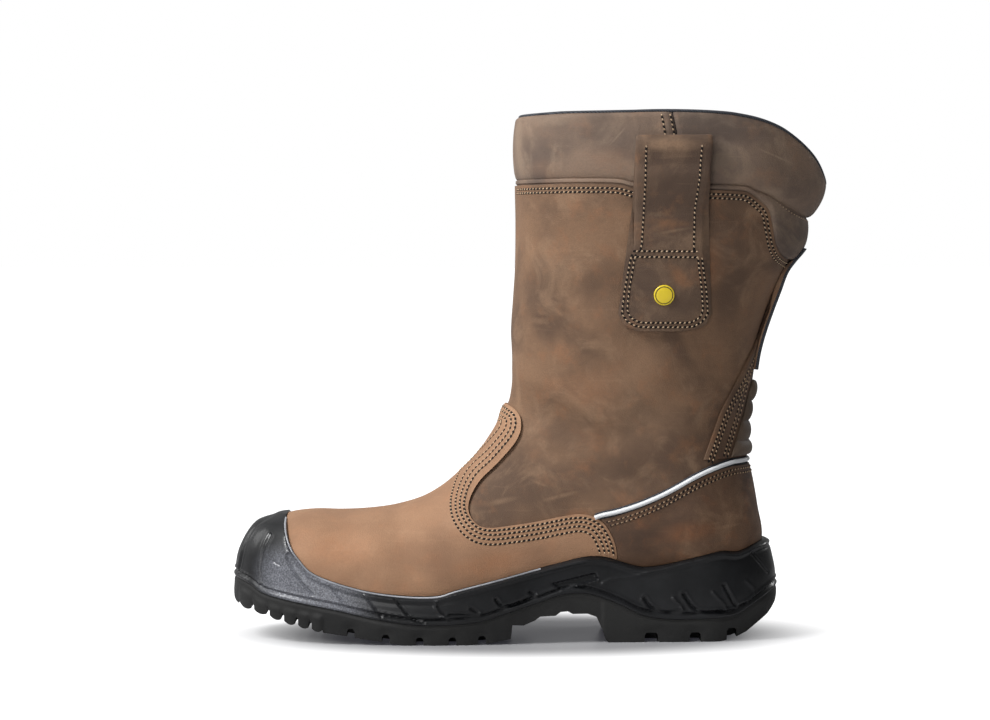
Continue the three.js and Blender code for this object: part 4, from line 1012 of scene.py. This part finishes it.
def meeting(line, turn, off):
    """The height at which a side view line crosses each turn of the shaft."""
    low, high = np.full(turn.shape, BOOT_HEIGHT * 0.69), np.full(turn.shape, BOOT_HEIGHT * 1.03)
    for _ in range(36):
        middle = (low + high) / 2
        above = middle > height_on(line, level_point(middle, turn, off)[..., 0])
        high = np.where(above, middle, high)
        low = np.where(above, low, middle)
    return (low + high) / 2


def between(first, last, share):
    return first + (last - first) * share


turn = np.linspace(0, 2 * math.pi, COLLAR_STATIONS, endpoint=False)
behind = ((1 - np.cos(turn)) / 2) ** 3
base = between(-0.8, 2.2, behind)
low_puff = between(0.3, 1.4, behind)
high_puff = between(1.6, 6.4, behind)
depth = between(5.0, 7.0, behind)
zero = np.zeros(COLLAR_STATIONS)
edge = meeting(shaft_edge, turn, zero)
near = np.stack([meeting(shaft_edge, turn + step, zero) for step in (-0.2, -0.1, 0, 0.1, 0.2)])
tucked = near.min(0) - COLLAR_TUCK
rim_swell = between(0.0, 5.0, behind)
rim = meeting(rim_line, turn, rim_swell)
rim -= height_on(RIM_DROP, level_point(rim, turn, rim_swell)[:, 0])
seam = np.maximum(edge + 3, meeting(puff_seam, turn, base))
seam_x = level_point(edge + 20, turn, zero)[:, 0]
near_seam = np.exp(-((seam_x - SIDE_SEAM_X) / 1.3) ** 2)
soft = (np.sin(turn * 9 + 0.4) * 0.4 + np.sin(turn * 17 + 2.0) * 0.25 + np.sin(turn * 31 + 1.0) * 0.12)
profile = [
    level_point(tucked, turn, zero - TUCK_DEPTH),
    level_point(edge - 3, turn, zero - TUCK_DEPTH + 0.2),
    level_point(edge - 0.3, turn, zero - WALL * 0.5),
    level_point(edge + 0.6, turn, base - 0.4),
    level_point(between(edge, seam, 0.35), turn, base + low_puff * 0.9),
    level_point(between(edge, seam, 0.65), turn, base + low_puff),
    level_point(between(edge, seam, 0.92), turn, base + low_puff * 0.4),
]
for share, swell, rear_swell in UPPER_PUFF:
    dent = (0.5 * soft * np.sin(math.pi * share) - near_seam * 1.3) * (share > 0.02)
    fullness = between(swell, rear_swell, behind)
    profile.append(level_point(between(seam, rim, share), turn, base + high_puff * fullness + dent))
rim_off = base + between(-2.0, 5.2, behind)
profile.append(level_point(rim, turn, rim_off))
for share, sink in INNER_FACE:
    profile.append(level_point(between(tucked, rim, share), turn, -depth * sink))
profile = np.stack(profile, 1)
collar_rings = np.stack([smooth(ring, PROFILE_SPANS, closed=True) for ring in profile])
collar = loft("collar_padding", collar_rings, True, 60)
# Its dark marks beside the pull loop (0.712 and 0.880 along) and at the back (1.030 along), where the
# collar turns away from the lamps, are painted shade.
collar_leather = leather(
    "collar_leather", paint(140, 117, 99), paint(98, 84, 75), paint(168, 146, 124),
    paint(146, 112, 88), 0.62, 2.1, [
        ("dark", 0.712, 0.925, 20, 14, 0, 0.7), ("dark", 1.030, 0.850, 22, 16, 20, 0.9),
        ("dark", 0.880, 0.880, 14, 24, 0, 0.5), ("dark", 0.560, 0.930, 10, 14, 0, 0.6),
        ("light", 0.985, 0.902, 14, 0.9, 22, 0.7), ("light", 0.700, 0.938, 9, 0.8, -48, 0.5),
        ("light", 0.560, 0.968, 26, 5, 0, 0.5), ("warm", 0.560, 0.880, 16, 8, 0, 0.5),
        ("warm", 0.690, 0.900, 18, 8, 0, 0.4)])
lining_cloth = Finish("lining_cloth")
mesh_weave = lining_cloth.node("ShaderNodeTexVoronoi", {"feature": "DISTANCE_TO_EDGE"}, {
    "Vector": lining_cloth.place, "Scale": 620.0})
lining = lining_cloth.done(
    Base_Color=lining_cloth.blend(
        lining_cloth.step(mesh_weave, 0.0, 0.2), paint(38, 40, 44), paint(78, 82, 88)),
    Roughness=0.92, Normal=lining_cloth.relief((mesh_weave, 0.0004, 0.5)))
dress(collar, "collar_leather", collar_leather, lining)
ring_length = collar_rings.shape[1]
rim_index = (len(profile[0]) - len(INNER_FACE) - 1) * PROFILE_SPANS
inside = [int(rim_index <= k % ring_length) for k in range(COLLAR_STATIONS * ring_length)]
collar.data.polygons.foreach_set("material_index", inside)
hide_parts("collar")

rim_path = level_point(rim + 0.1, turn, rim_off + 0.1)
dress(tube("collar_binding", rim_path, BINDING_RADIUS, 10, 1.3, True), "dark_web", dark_web)

seam_rows_up = []
for side in (LATERAL, MEDIAL):
    lateral_half = turn < math.pi if side == LATERAL else turn > math.pi
    order = np.argsort(np.abs(seam_x - SIDE_SEAM_X) + np.where(lateral_half, 0, 1e6))[0]
    for shift_x in (-1.6, -4.6):
        k = order + int(round(shift_x / 1.1)) * (-1 if side == LATERAL else 1) * -1
        path = collar_rings[k % COLLAR_STATIONS, 8 * PROFILE_SPANS:rim_index - 3]
        out = np.tile([0, -side, 0.1], (len(path), 1)).astype(float)
        seam_rows_up.append((path + out * 0.1, out))
# Down each side seam of the collar lies a thin near-black cord, painted shade of the seam's groove.
for half, name in ((turn < math.pi, "outer"), (turn > math.pi, "inner")):
    k = int(np.argmin(np.abs(seam_x - SIDE_SEAM_X) + np.where(half, 0, 1e6)))
    seam_path = collar_rings[k, 8 * PROFILE_SPANS:rim_index]
    dress(tube("collar_side_seam_shade_" + name, seam_path, SEAM_RADIUS, 6), "collar_leather", hole_shade)
puff_path = collar_rings[:, int(6.4 * PROFILE_SPANS)]
keep = seam_x > SOLE_LENGTH * 0.44
for half in (keep & (turn < math.pi), keep & (turn > math.pi)):
    path = puff_path[half] + [0, 0, -1.2]
    out = (path - [SOLE_LENGTH * 0.28, 0, 0]) * [1, 1, 0]
    out /= np.linalg.norm(out, axis=1, keepdims=True)
    seam_rows_up.append((path + out * 0.2, out))
stitches("collar_stitching", seam_rows_up, "collar_leather")

# Each pull loop is one leather strap, sewn flat below as a patch with rounded corners,
# run up over the collar, and folded back behind itself. The outer and inner one are a pair.
STRAP_PATH = np.array([
    (0.581, 0.65), (0.593, 0.65), (0.613, 0.65), (0.657, 0.65), (0.710, 0.65), (0.750, 0.70),
    (0.800, 1.10), (0.833, 2.20), (0.867, 3.25), (0.888, 3.20), (0.902, 3.45), (0.918, 3.80),
    (0.931, 3.62), (0.937, 3.00), (0.930, 2.40), (0.907, 2.25), (0.870, 2.25),
])
STRAP_EDGES = np.array([
    (0.581, 0.735, 0.820), (0.586, 0.722, 0.848), (0.593, 0.712, 0.860), (0.613, 0.703, 0.869),
    (0.657, 0.708, 0.865), (0.710, 0.718, 0.857), (0.740, 0.727, 0.854), (0.807, 0.731, 0.854),
    (0.860, 0.733, 0.861), (0.940, 0.734, 0.866),
])
# The light band across the top (0.790 along) is a painted highlight on the fold, and the dark band just
# under it is painted shade.
loop_leather = leather(
    "loop_leather", paint(122, 98, 78), paint(90, 72, 60), paint(158, 128, 102),
    paint(150, 106, 74), 0.60, 3.3, [
        ("warm", 0.812, 0.680, 6, 10, -40, 0.8), ("dark", 0.762, 0.650, 7, 12, 0, 0.6),
        ("light", 0.790, 0.922, 24, 5, 0, 1.0), ("dark", 0.795, 0.893, 16, 3, 0, 0.8),
        ("warm", 0.790, 0.780, 18, 3, 4, 0.5), ("light", 0.800, 0.765, 14, 1.2, -10, 0.5)])
ACROSS = (0.0, 0.012, 0.035, 0.08, 0.16, 0.26, 0.38, 0.5, 0.62, 0.74, 0.84, 0.92, 0.965, 0.988, 1.0)
PATCH_TOP = 216
strap_curve = smooth(STRAP_PATH * [BOOT_HEIGHT, STRAP_THICKNESS], 8)


def strap_point(share, up, lift, side):
    """A place on a strap: a share of the way across it, and a height."""
    shares = up / BOOT_HEIGHT
    ahead = SOLE_LENGTH * (np.interp(shares, STRAP_EDGES[:, 0], STRAP_EDGES[:, 1]) - 0.5)
    rear = SOLE_LENGTH * (np.interp(shares, STRAP_EDGES[:, 0], STRAP_EDGES[:, 2]) - 0.5)
    return on_side(between(ahead, rear, share), up, side, lift)


def strap_row(points, side, lift=1.05):
    """A row of stitches on the strap's outer face, from shares across it and heights."""
    points = np.array(points, float)
    rising = strap_curve[:np.argmax(strap_curve[:, 0]) + 1]
    lifts = np.interp(points[:, 1], rising[:, 0], rising[:, 1])
    path = strap_point(points[:, 0], points[:, 1], lifts + lift, side)
    below = strap_point(points[:, 0], points[:, 1], lifts, side)
    out = path - below
    return path, out / np.linalg.norm(out, axis=1, keepdims=True)


run = np.gradient(strap_curve, axis=0)
run /= np.linalg.norm(run, axis=1, keepdims=True)
push = np.column_stack([-run[:, 1], run[:, 0]]) * STRAP_THICKNESS / 2
for side, name, node in ((LATERAL, "outer_pull_loop", "pull_loop_outer"),
                         (MEDIAL, "inner_pull_loop", "pull_loop_inner")):
    rings = []
    for share in ACROSS:
        slim = 1 - 0.75 * math.exp(-min(share, 1 - share) * 60)
        both = np.vstack([strap_curve + push * slim, (strap_curve - push * slim)[::-1]])
        rings.append(strap_point(share, both[:, 0], both[:, 1], side))
    strap = loft(name, rings, False, 50)
    dress(strap, "shaft_leather", loop_leather)
    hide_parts(node)
    rows = []
    heights = np.linspace(220, 277, 40)
    for share in (0.135, 0.860):
        rows.append(strap_row([(share, z) for z in heights], side))
    across = np.linspace(0.06, 0.93, 30)
    for z in (218.6, 215.4):
        rows.append(strap_row([(share, z) for share in across], side))
    for inset, low_z in ((0.042, 176.6), (0.092, 179.0)):
        ring = [(inset, z) for z in np.linspace(PATCH_TOP, low_z + 7, 24)]
        ring += [(inset + 0.02, low_z + 3.5), (inset + 0.08, low_z + 0.6)]
        ring += [(share, low_z) for share in np.linspace(inset + 0.16, 0.84 - inset, 20)]
        ring += [(0.92 - inset, low_z + 0.6), (0.98 - inset, low_z + 3.5)]
        ring += [(1 - inset, z) for z in np.linspace(low_z + 7, PATCH_TOP, 24)]
        rows.append(strap_row(ring, side))
    stitches(name + "_stitching", rows, "shaft_leather")

# The badge is a small plain disc of yellow lacquer with a dark ring, pressed on the outer patch.
# It carries no sign.
BADGE_RADIUS = 5.7
BADGE_THICKNESS = 0.8
# Its section from the edge inwards: share of the radius and of the thickness.
BADGE_SECTION = ((1.0, 0.0), (1.0, 0.55), (0.97, 0.85), (0.90, 1.0), (0.86, 0.92), (0.80, 0.92),
                 (0.76, 1.0), (0.3, 1.05))
badge_x, badge_z = on_plan([(0.784, 0.648)])[0]
seat = on_side(badge_x, badge_z, LATERAL, STRAP_THICKNESS * 1.15 + GAP)
outward = seat - on_side(badge_x, badge_z, LATERAL, 0.0)
outward /= np.linalg.norm(outward)
level = np.cross(outward, [0, 0, 1])
level /= np.linalg.norm(level)
upright = np.cross(level, outward)
angles = np.linspace(0, 2 * math.pi, 64, endpoint=False)
badge_rings = []
for radius, height in BADGE_SECTION:
    badge_rings.append(
        seat + outward * height * BADGE_THICKNESS
        + BADGE_RADIUS * radius * (np.cos(angles)[:, None] * level + np.sin(angles)[:, None] * upright))
badge = loft("badge_disc", badge_rings, False, 60)
centre = ((seat + outward * BADGE_THICKNESS - [SHIFT, 0, 0]) * MM).tolist()
lacquer = Finish("yellow_lacquer")
far = lacquer.node(
    "ShaderNodeVectorMath", {"operation": "DISTANCE"}, {0: lacquer.place, 1: centre}, "Value")
ring = lacquer.step(far, 0.0044, 0.0045) * lacquer.step(far, 0.0049, 0.0050, 1.0, 0.0)
yellow = lacquer.blend(lacquer.noise(700.0) * 0.3, paint(250, 222, 50), paint(226, 186, 40))
dress(badge, "yellow_disc", lacquer.done(
    Base_Color=lacquer.blend(ring, yellow, paint(40, 34, 20)), Roughness=0.35, Coat_Weight=0.3))
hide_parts("badge")

# Inside, a grey lining of knitted mesh lies on the leather from the footbed to the collar.
# The insole is a plate of grey felt, and keeps the form that its solid has.
LINING_GAP = 0.25
LINING_THICKNESS = 0.5
liner = form_solid("shaft_lining", 2, LAST_ROW - 1, -WALL - LINING_GAP, 110, 90)
cut(liner, form_solid("inside", 1.5, LAST_ROW - 0.5, -WALL - LINING_GAP - LINING_THICKNESS, 110, 90))
cut(liner, band(footbed_line + [0, 5], shaft_edge - [0, 10]), "INTERSECT")
dress(liner, "footbed", lining)
felt = Finish("insole_felt")
fuzz = felt.noise(1400.0, 3.0, 0.7)
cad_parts["insole"].data.materials.clear()
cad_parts["insole"].data.materials.append(felt.done(
    Base_Color=felt.blend(felt.step(fuzz, 0.3, 0.7), paint(52, 54, 58), paint(92, 95, 100)),
    Roughness=0.95, Normal=felt.relief((fuzz, 0.0004, 0.6))))

# The midsole is one moulded cup of black foam with its toe scuff cap, poured against the upper.
# Its side wall has a lip, moulded slots and long creases, and it grips the upper all round.
TOE_CURL = 20.0
# The lower share of a sole piece's height, and the share of its rows that lie there.
COARSE_HEIGHT = 0.64
COARSE_ROWS = 0.58
# Places along the sole, and half widths on the outer and inner side there.
OUTLINE = np.array([
    (0.000, 0.030, 0.110), (0.012, 0.140, 0.215), (0.040, 0.262, 0.320), (0.090, 0.374, 0.395),
    (0.160, 0.449, 0.445), (0.240, 0.487, 0.473), (0.320, 0.509, 0.480), (0.400, 0.507, 0.458),
    (0.500, 0.465, 0.405), (0.580, 0.424, 0.370), (0.660, 0.395, 0.360), (0.740, 0.379, 0.361),
    (0.820, 0.371, 0.365), (0.900, 0.345, 0.345), (0.955, 0.265, 0.270), (0.988, 0.160, 0.165),
    (1.000, 0.050, 0.055),
])
# Heights, and how far in the wall lies there at the sides, toe and heel.
SIDE_WALL = np.array([
    (-0.005, 0.15, 0.40, 0.35), (0.027, 0.06, 0.20, 0.22), (0.053, 0.02, 0.07, 0.08),
    (0.077, 0.00, 0.00, 0.00), (0.100, 0.02, 0.01, 0.01), (0.127, 0.07, 0.04, 0.04),
    (0.153, 0.10, 0.10, 0.12), (0.173, 0.13, 0.21, 0.20), (0.193, 0.16, 0.37, 0.33),
    (0.207, 0.20, 0.53, 0.45), (0.217, 0.30, 0.72, 0.60), (0.231, 0.44, 1.30, 0.92),
])
TREAD_LINE = [
    (-0.030, 0.120), (0.034, 0.105), (0.056, 0.092), (0.108, 0.080), (0.194, 0.065), (0.272, 0.048),
    (0.351, 0.038), (0.455, 0.044), (0.492, 0.055), (0.565, 0.079), (0.602, 0.091), (0.635, 0.094),
    (0.657, 0.091), (0.707, 0.072), (0.747, 0.052), (0.791, 0.044), (0.860, 0.044), (0.919, 0.049),
    (0.955, 0.070), (0.993, 0.093), (1.030, 0.110),
]
# Moulded slots with a floor, seen from the side, with how deep they are in millimetres.
WALL_SLOTS = [
    ([(0.585, 0.112), (0.662, 0.130), (0.668, 0.119), (0.600, 0.101)], 1.7),
]
# Lines pressed into the wall, or raised where the depth is below nought: half width and depth in mm.
WALL_LINES = [
    ([(0.074, 0.229), (0.043, 0.210), (0.024, 0.180), (0.014, 0.140), (0.010, 0.119)], 0.8, 1.2),
    ([(0.072, 0.197), (0.061, 0.173), (0.056, 0.150), (0.055, 0.127), (0.058, 0.106)], 1.0, 1.3),
    ([(0.081, 0.149), (0.093, 0.143)], 0.6, 0.8),
    ([(0.106, 0.165), (0.107, 0.153), (0.125, 0.122), (0.152, 0.093)], 0.8, 1.4),
    ([(0.184, 0.111), (0.208, 0.080)], 0.6, 0.9),
    ([(0.242, 0.099), (0.278, 0.053)], 0.6, 0.8),
    ([(0.301, 0.088), (0.333, 0.050), (0.355, 0.043)], 0.6, 1.0),
    ([(0.396, 0.049), (0.378, 0.067), (0.375, 0.079), (0.381, 0.087), (0.411, 0.096)], 0.8, -1.0),
    ([(0.411, 0.096), (0.491, 0.115), (0.560, 0.133), (0.649, 0.152)], 0.8, -0.6),
    ([(0.399, 0.057), (0.435, 0.058), (0.451, 0.059), (0.438, 0.070)], 0.9, 1.2),
    ([(0.483, 0.086), (0.495, 0.072), (0.549, 0.088), (0.553, 0.092), (0.544, 0.097)], 0.9, 1.4),
    ([(0.601, 0.100), (0.668, 0.118)], 0.7, -0.9),
    ([(0.677, 0.112), (0.692, 0.119), (0.731, 0.123), (0.770, 0.135), (0.837, 0.152)], 0.9, -0.7),
    ([(0.752, 0.083), (0.765, 0.066), (0.790, 0.058), (0.817, 0.059)], 1.0, 1.5),
    ([(0.817, 0.059), (0.821, 0.063), (0.804, 0.084)], 0.8, -0.8),
    ([(0.823, 0.091), (0.840, 0.066), (0.853, 0.058), (0.895, 0.058)], 1.0, 1.5),
    ([(0.895, 0.058), (0.901, 0.063), (0.876, 0.094)], 0.8, -0.8),
    ([(0.897, 0.107), (0.910, 0.082), (0.921, 0.066), (0.937, 0.071)], 1.0, 1.4),
    ([(0.937, 0.071), (0.956, 0.090), (0.938, 0.113)], 0.8, -0.8),
    ([(0.949, 0.163), (0.981, 0.124)], 0.8, 0.8),
]


def sole_outline(count):
    """The sole's outline from above, with points at an even spacing."""
    outer = np.column_stack([SOLE_LENGTH * (OUTLINE[:, 0] - 0.5), -BALL_WIDTH * OUTLINE[:, 1]])
    inner = np.column_stack([SOLE_LENGTH * (OUTLINE[:, 0] - 0.5), BALL_WIDTH * OUTLINE[:, 2]])
    curve = smooth(np.vstack([outer, inner[::-1]]), 16, closed=True)
    ring = evenly(np.vstack([curve, curve[:1]]), 1.0)
    share = np.linspace(0, len(ring) - 1, count, endpoint=False)
    return np.column_stack([np.interp(share, np.arange(len(ring)), ring[:, k]) for k in (0, 1)])


def eased(low, high, value):
    share = np.clip((value - low) / (high - low), 0, 1)
    return share * share * (3 - 2 * share)


def inside_of(corners, x, z, soft_edge):
    """1 inside a convex outline and 0 outside, with a soft edge of the given width."""
    corners = np.asarray(corners)
    turn_way = np.sign(np.sum(corners[:, 0] * np.roll(corners[:, 1], -1)
                              - np.roll(corners[:, 0], -1) * corners[:, 1]))
    depth_in = np.full(np.broadcast(x, z).shape, 1e9)
    for (ax, az), (bx, bz) in zip(corners, np.roll(corners, -1, 0)):
        run = math.hypot(bx - ax, bz - az)
        edge_far = turn_way * ((bx - ax) * (z - az) - (bz - az) * (x - ax)) / run
        depth_in = np.minimum(depth_in, edge_far)
    return eased(-soft_edge / 2, soft_edge / 2, depth_in)


tread_line = smooth(on_plan(TREAD_LINE), 6)


def wall_relief(x, z):
    """Millimetres that the cup's side wall stands out of or into its smooth shape."""
    under = height_on(feather_line, x) - z
    over = z - height_on(tread_line, x)
    push = 0.9 * np.exp(-((under - 1.9) / 1.1) ** 2) - 0.35 * np.exp(-((under - 4.4) / 1.0) ** 2)
    push -= 1.8 * np.exp(-np.clip(under, 0, 20) / 0.7)
    push += 0.6 * np.exp(-((over - 1.2) / 0.9) ** 2) - 0.8 * np.exp(-((over - 3.2) / 0.7) ** 2)
    push += 0.5 * np.exp(-((over - 4.8) / 0.7) ** 2)
    for corners, deep in WALL_SLOTS:
        push -= deep * inside_of(on_plan(corners), x, z, 1.0)
    for path, wide, deep in WALL_LINES:
        far = distance_to(smooth(on_plan(path), 3), x, z)
        push -= 0.75 * deep * np.exp(-(far / (0.8 * wide)) ** 2)
        push += 0.18 * max(deep, 0) * np.exp(-((far - 1.6 * wide) / (0.6 * wide)) ** 2)
    return push


def sole_body(name, low, high, rows, count, relief):
    """The sole's full shape between two heights, with relief on its wall."""
    outline = sole_outline(count)
    along = np.roll(outline, -1, 0) - np.roll(outline, 1, 0)
    along /= np.linalg.norm(along, axis=1, keepdims=True)
    share = outline[:, 0] / SOLE_LENGTH + 0.5
    toe = 1 - eased(0.05, 0.26, share)
    heel = eased(0.86, 0.97, share)
    wall = smooth(SIDE_WALL * [BOOT_HEIGHT, TOE_CURL, TOE_CURL, TOE_CURL], 6)
    rings = []
    bend_height = between(low, high, COARSE_HEIGHT)
    coarse = int(rows * COARSE_ROWS)
    heights = np.concatenate([
        np.linspace(low, bend_height, coarse, endpoint=False),
        np.linspace(bend_height, high, rows - coarse)])
    for z in heights:
        side_in, toe_in, heel_in = (np.interp(z, wall[:, 0], wall[:, k]) for k in (1, 2, 3))
        inset = side_in * (1 - toe - heel) + toe_in * toe + heel_in * heel
        inset = inset - relief(outline[:, 0] - along[:, 1] * inset, np.full(count, z))
        rings.append(np.column_stack([
            outline[:, 0] - along[:, 1] * inset, outline[:, 1] + along[:, 0] * inset, np.full(count, z)]))
    return loft(name, rings)


def rubber(name, dark, light, rough, stipple, gloss, panel=None):
    """Moulded rubber: near black and satin, with a fine stipple and a little dust in patches.

    A panel is a place greyed as a painted sheen where it catches the light, speckled and made duller: its
    middle and its half sizes in metres.
    """
    finish = Finish(name)
    cloud = finish.step(finish.noise(26.0, 5.0, 0.6), 0.35, 0.7)
    grit = finish.noise(1500.0, 3.0, 0.7)
    dust = finish.step(finish.noise(120.0, 6.0, 0.7), 0.58, 0.82)
    colour = finish.blend(cloud * 0.6, dark, light)
    colour = finish.blend(dust * 0.06, colour, paint(120, 118, 114))
    shine = finish.step(grit + cloud * 0.4, 0.3, 1.1, rough - 0.06, rough + 0.10)
    if panel:
        painted_sheen = finish.spot(*panel)
        speckle = finish.step(finish.noise(1100.0, 5.0, 0.8), 0.42, 0.62)
        colour = finish.blend(painted_sheen * (0.35 + speckle * 0.65), colour, paint(132, 134, 142))
        shine = shine + painted_sheen * 0.16
    normal = finish.relief((finish.noise(90.0, 3.0), 0.0006, 0.2), (grit, 0.00018, stipple))
    return finish.done(Base_Color=colour, Roughness=shine, Normal=normal, Specular_IOR_Level=0.30,
                       Coat_Weight=gloss, Coat_Roughness=0.16)


# Its panel is a painted sheen: the toe cap's outer side greyed where it catches the light.
cup_rubber = rubber("cup_rubber", paint(14, 15, 17), paint(30, 31, 34), 0.40, 0.30, 0.30,
                    ((-0.122, -0.045, 0.030), (0.046, 0.036, 0.026), 24.0))
BODY_TOP = BOOT_HEIGHT * 0.231
cup = sole_body("midsole_cup", BOOT_HEIGHT * 0.030, BODY_TOP, 112, 960, wall_relief)
ahead_of_toe = [[tread_line[0, 0], feather_line[0, 1]]]
cut(cup, band(tread_line + [0, GAP / 2], np.vstack([ahead_of_toe, feather_line])), "INTERSECT")
hollow = form_solid("hollow", 0, ANKLE_ROW, GAP, 150, 120)
cut(hollow, band(footbed_line - [0, GAP], level_line(BOOT_HEIGHT)), "INTERSECT")
cut(cup, hollow)
dress(cup, "sole_foam", cup_rubber)
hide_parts("midsole")

# The moulded lip where the cup meets the leather is a thin bead of the cup's foam.
# It follows the cup's edge from the toe to the waist, and is painted light grey as a painted highlight
# along the edge.
LIP_RADIUS = 0.6
LIP_DROP = 0.35
LIP_ENDS = (-148.0, 22.0)

bpy.context.view_layer.update()
painted_highlight_lip = rubber("painted_highlight_lip", paint(130, 132, 138), paint(214, 216, 222), 0.30, 0.20, 0.60)
for side, name in ((LATERAL, "lip_highlight_outer"), (MEDIAL, "lip_highlight_inner")):
    path = []
    for x, z in evenly(smooth(feather_line, 1), 2.5):
        if LIP_ENDS[0] < x < LIP_ENDS[1]:
            start = Vector(((x - SHIFT) * MM, -side * SIDE_REACH * MM, (z - LIP_DROP) * MM))
            struck, spot, _, _ = cup.ray_cast(start, Vector((0, side, 0)))
            if struck:
                path.append(np.array(spot) / MM + [SHIFT, 0, 0])
    lip = tube(name, np.array(path), LIP_RADIUS, 8)
    dress(lip, "sole_foam", painted_highlight_lip)

# The outsole is moulded tread rubber: rounded bumper lugs at the toe, blocks under the ball,
# a web under the arch and a heel block with a sharp breast.
GROUND_LINE = [
    (-0.030, 0.098), (0.006, 0.065), (0.023, 0.058), (0.062, 0.049), (0.112, 0.034), (0.166, 0.022),
    (0.200, 0.018), (0.260, 0.009), (0.299, 0.003), (0.325, 0.000), (0.438, 0.000), (0.474, 0.003),
    (0.510, 0.010), (0.513, 0.036), (0.533, 0.035), (0.554, 0.044), (0.563, 0.051), (0.591, 0.052),
    (0.600, 0.059), (0.613, 0.060), (0.622, 0.055), (0.649, 0.055), (0.665, 0.049), (0.675, 0.027),
    (0.682, 0.005), (0.688, 0.000), (0.890, 0.000), (0.914, 0.004), (0.940, 0.015), (0.981, 0.045),
    (0.994, 0.061), (1.030, 0.102),
]
# Where each groove crosses the tread, its width, and how high it reaches, with blocks between.
GROOVES = [
    (0.040, 0.006, 0.070), (0.070, 0.006, 0.063), (0.097, 0.006, 0.056), (0.123, 0.006, 0.050),
    (0.148, 0.006, 0.044), (0.222, 0.014, 0.030), (0.285, 0.014, 0.020), (0.346, 0.014, 0.015),
    (0.405, 0.014, 0.015), (0.458, 0.014, 0.017), (0.765, 0.024, 0.018), (0.845, 0.020, 0.018),
    (0.912, 0.018, 0.024),
]
LUG_EDGES = (0.012, 0.040, 0.070, 0.097, 0.123, 0.148, 0.172)
LUG_ROUND = 2.6
NOTCH_DEPTH = 20.0
ground_x = np.linspace(on_plan(GROUND_LINE)[0, 0], SOLE_LENGTH * (LUG_EDGES[-1] - 0.5), 120)
ground_z = height_on(on_plan(GROUND_LINE), ground_x)
for low, high in zip(LUG_EDGES[:-1], LUG_EDGES[1:]):
    inside = np.clip((ground_x / SOLE_LENGTH + 0.5 - low) / (high - low), 0, 1)
    ground_z += LUG_ROUND * (1 - np.sin(math.pi * inside) ** 0.6) * (inside > 0) * (inside < 1)
rest = on_plan(GROUND_LINE)
ground_line = np.vstack([np.column_stack([ground_x, ground_z]), rest[rest[:, 0] > ground_x[-1] + 0.1]])


def tread_relief(x, z):
    """Millimetres that the tread's side wall stands out: rounded toe lugs and a step under the cup."""
    share = x / SOLE_LENGTH + 0.5
    under = height_on(tread_line, x) - z
    push = -0.6 * np.exp(-((under - 0.6) / 0.9) ** 2)
    for low, high in zip(LUG_EDGES[:-1], LUG_EDGES[1:]):
        inside = np.clip((share - low) / (high - low), 0, 1)
        push += 1.3 * np.sin(math.pi * inside) ** 0.5 * (inside > 0) * (inside < 1) * eased(3, 7, under)
    heel_block = eased(0.672, 0.680, share)
    push -= 0.5 * (1 - heel_block) * eased(0.50, 0.52, share) * eased(1, 3, under)
    for at, wide, high_up in GROOVES:
        if at > 0.2:
            mouth = np.exp(-((share - at) / (wide * 0.9)) ** 2)
            push -= 0.8 * mouth * eased(BOOT_HEIGHT * high_up + 5, BOOT_HEIGHT * high_up, z)
    return push


tread_rubber = rubber("tread_rubber", paint(30, 30, 30), paint(48, 48, 47), 0.62, 0.6, 0.1)
tread = sole_body("outsole_tread", -BOOT_HEIGHT * 0.005, BOOT_HEIGHT * 0.125, 60, 760, tread_relief)
cut(tread, band(ground_line, tread_line - [0, GAP / 2]), "INTERSECT")
for at, wide, high_up in GROOVES:
    from_x, to_x = SOLE_LENGTH * (at - wide / 2 - 0.5), SOLE_LENGTH * (at + wide / 2 - 0.5)
    top = BOOT_HEIGHT * high_up
    notch = [(from_x, -4), (to_x, -4), (to_x, top - 1.5), (to_x - 1.0, top), (from_x + 1.0, top),
             (from_x, top - 1.5)]
    half = BALL_WIDTH * np.interp(at, OUTLINE[:, 0], OUTLINE[:, 1])
    cut(tread, prism(notch, -SIDE_REACH, NOTCH_DEPTH - half))
    half = BALL_WIDTH * np.interp(at, OUTLINE[:, 0], OUTLINE[:, 2])
    cut(tread, prism(notch, half - NOTCH_DEPTH, SIDE_REACH))
dress(tread, "tread_rubber", tread_rubber)
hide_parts("outsole")
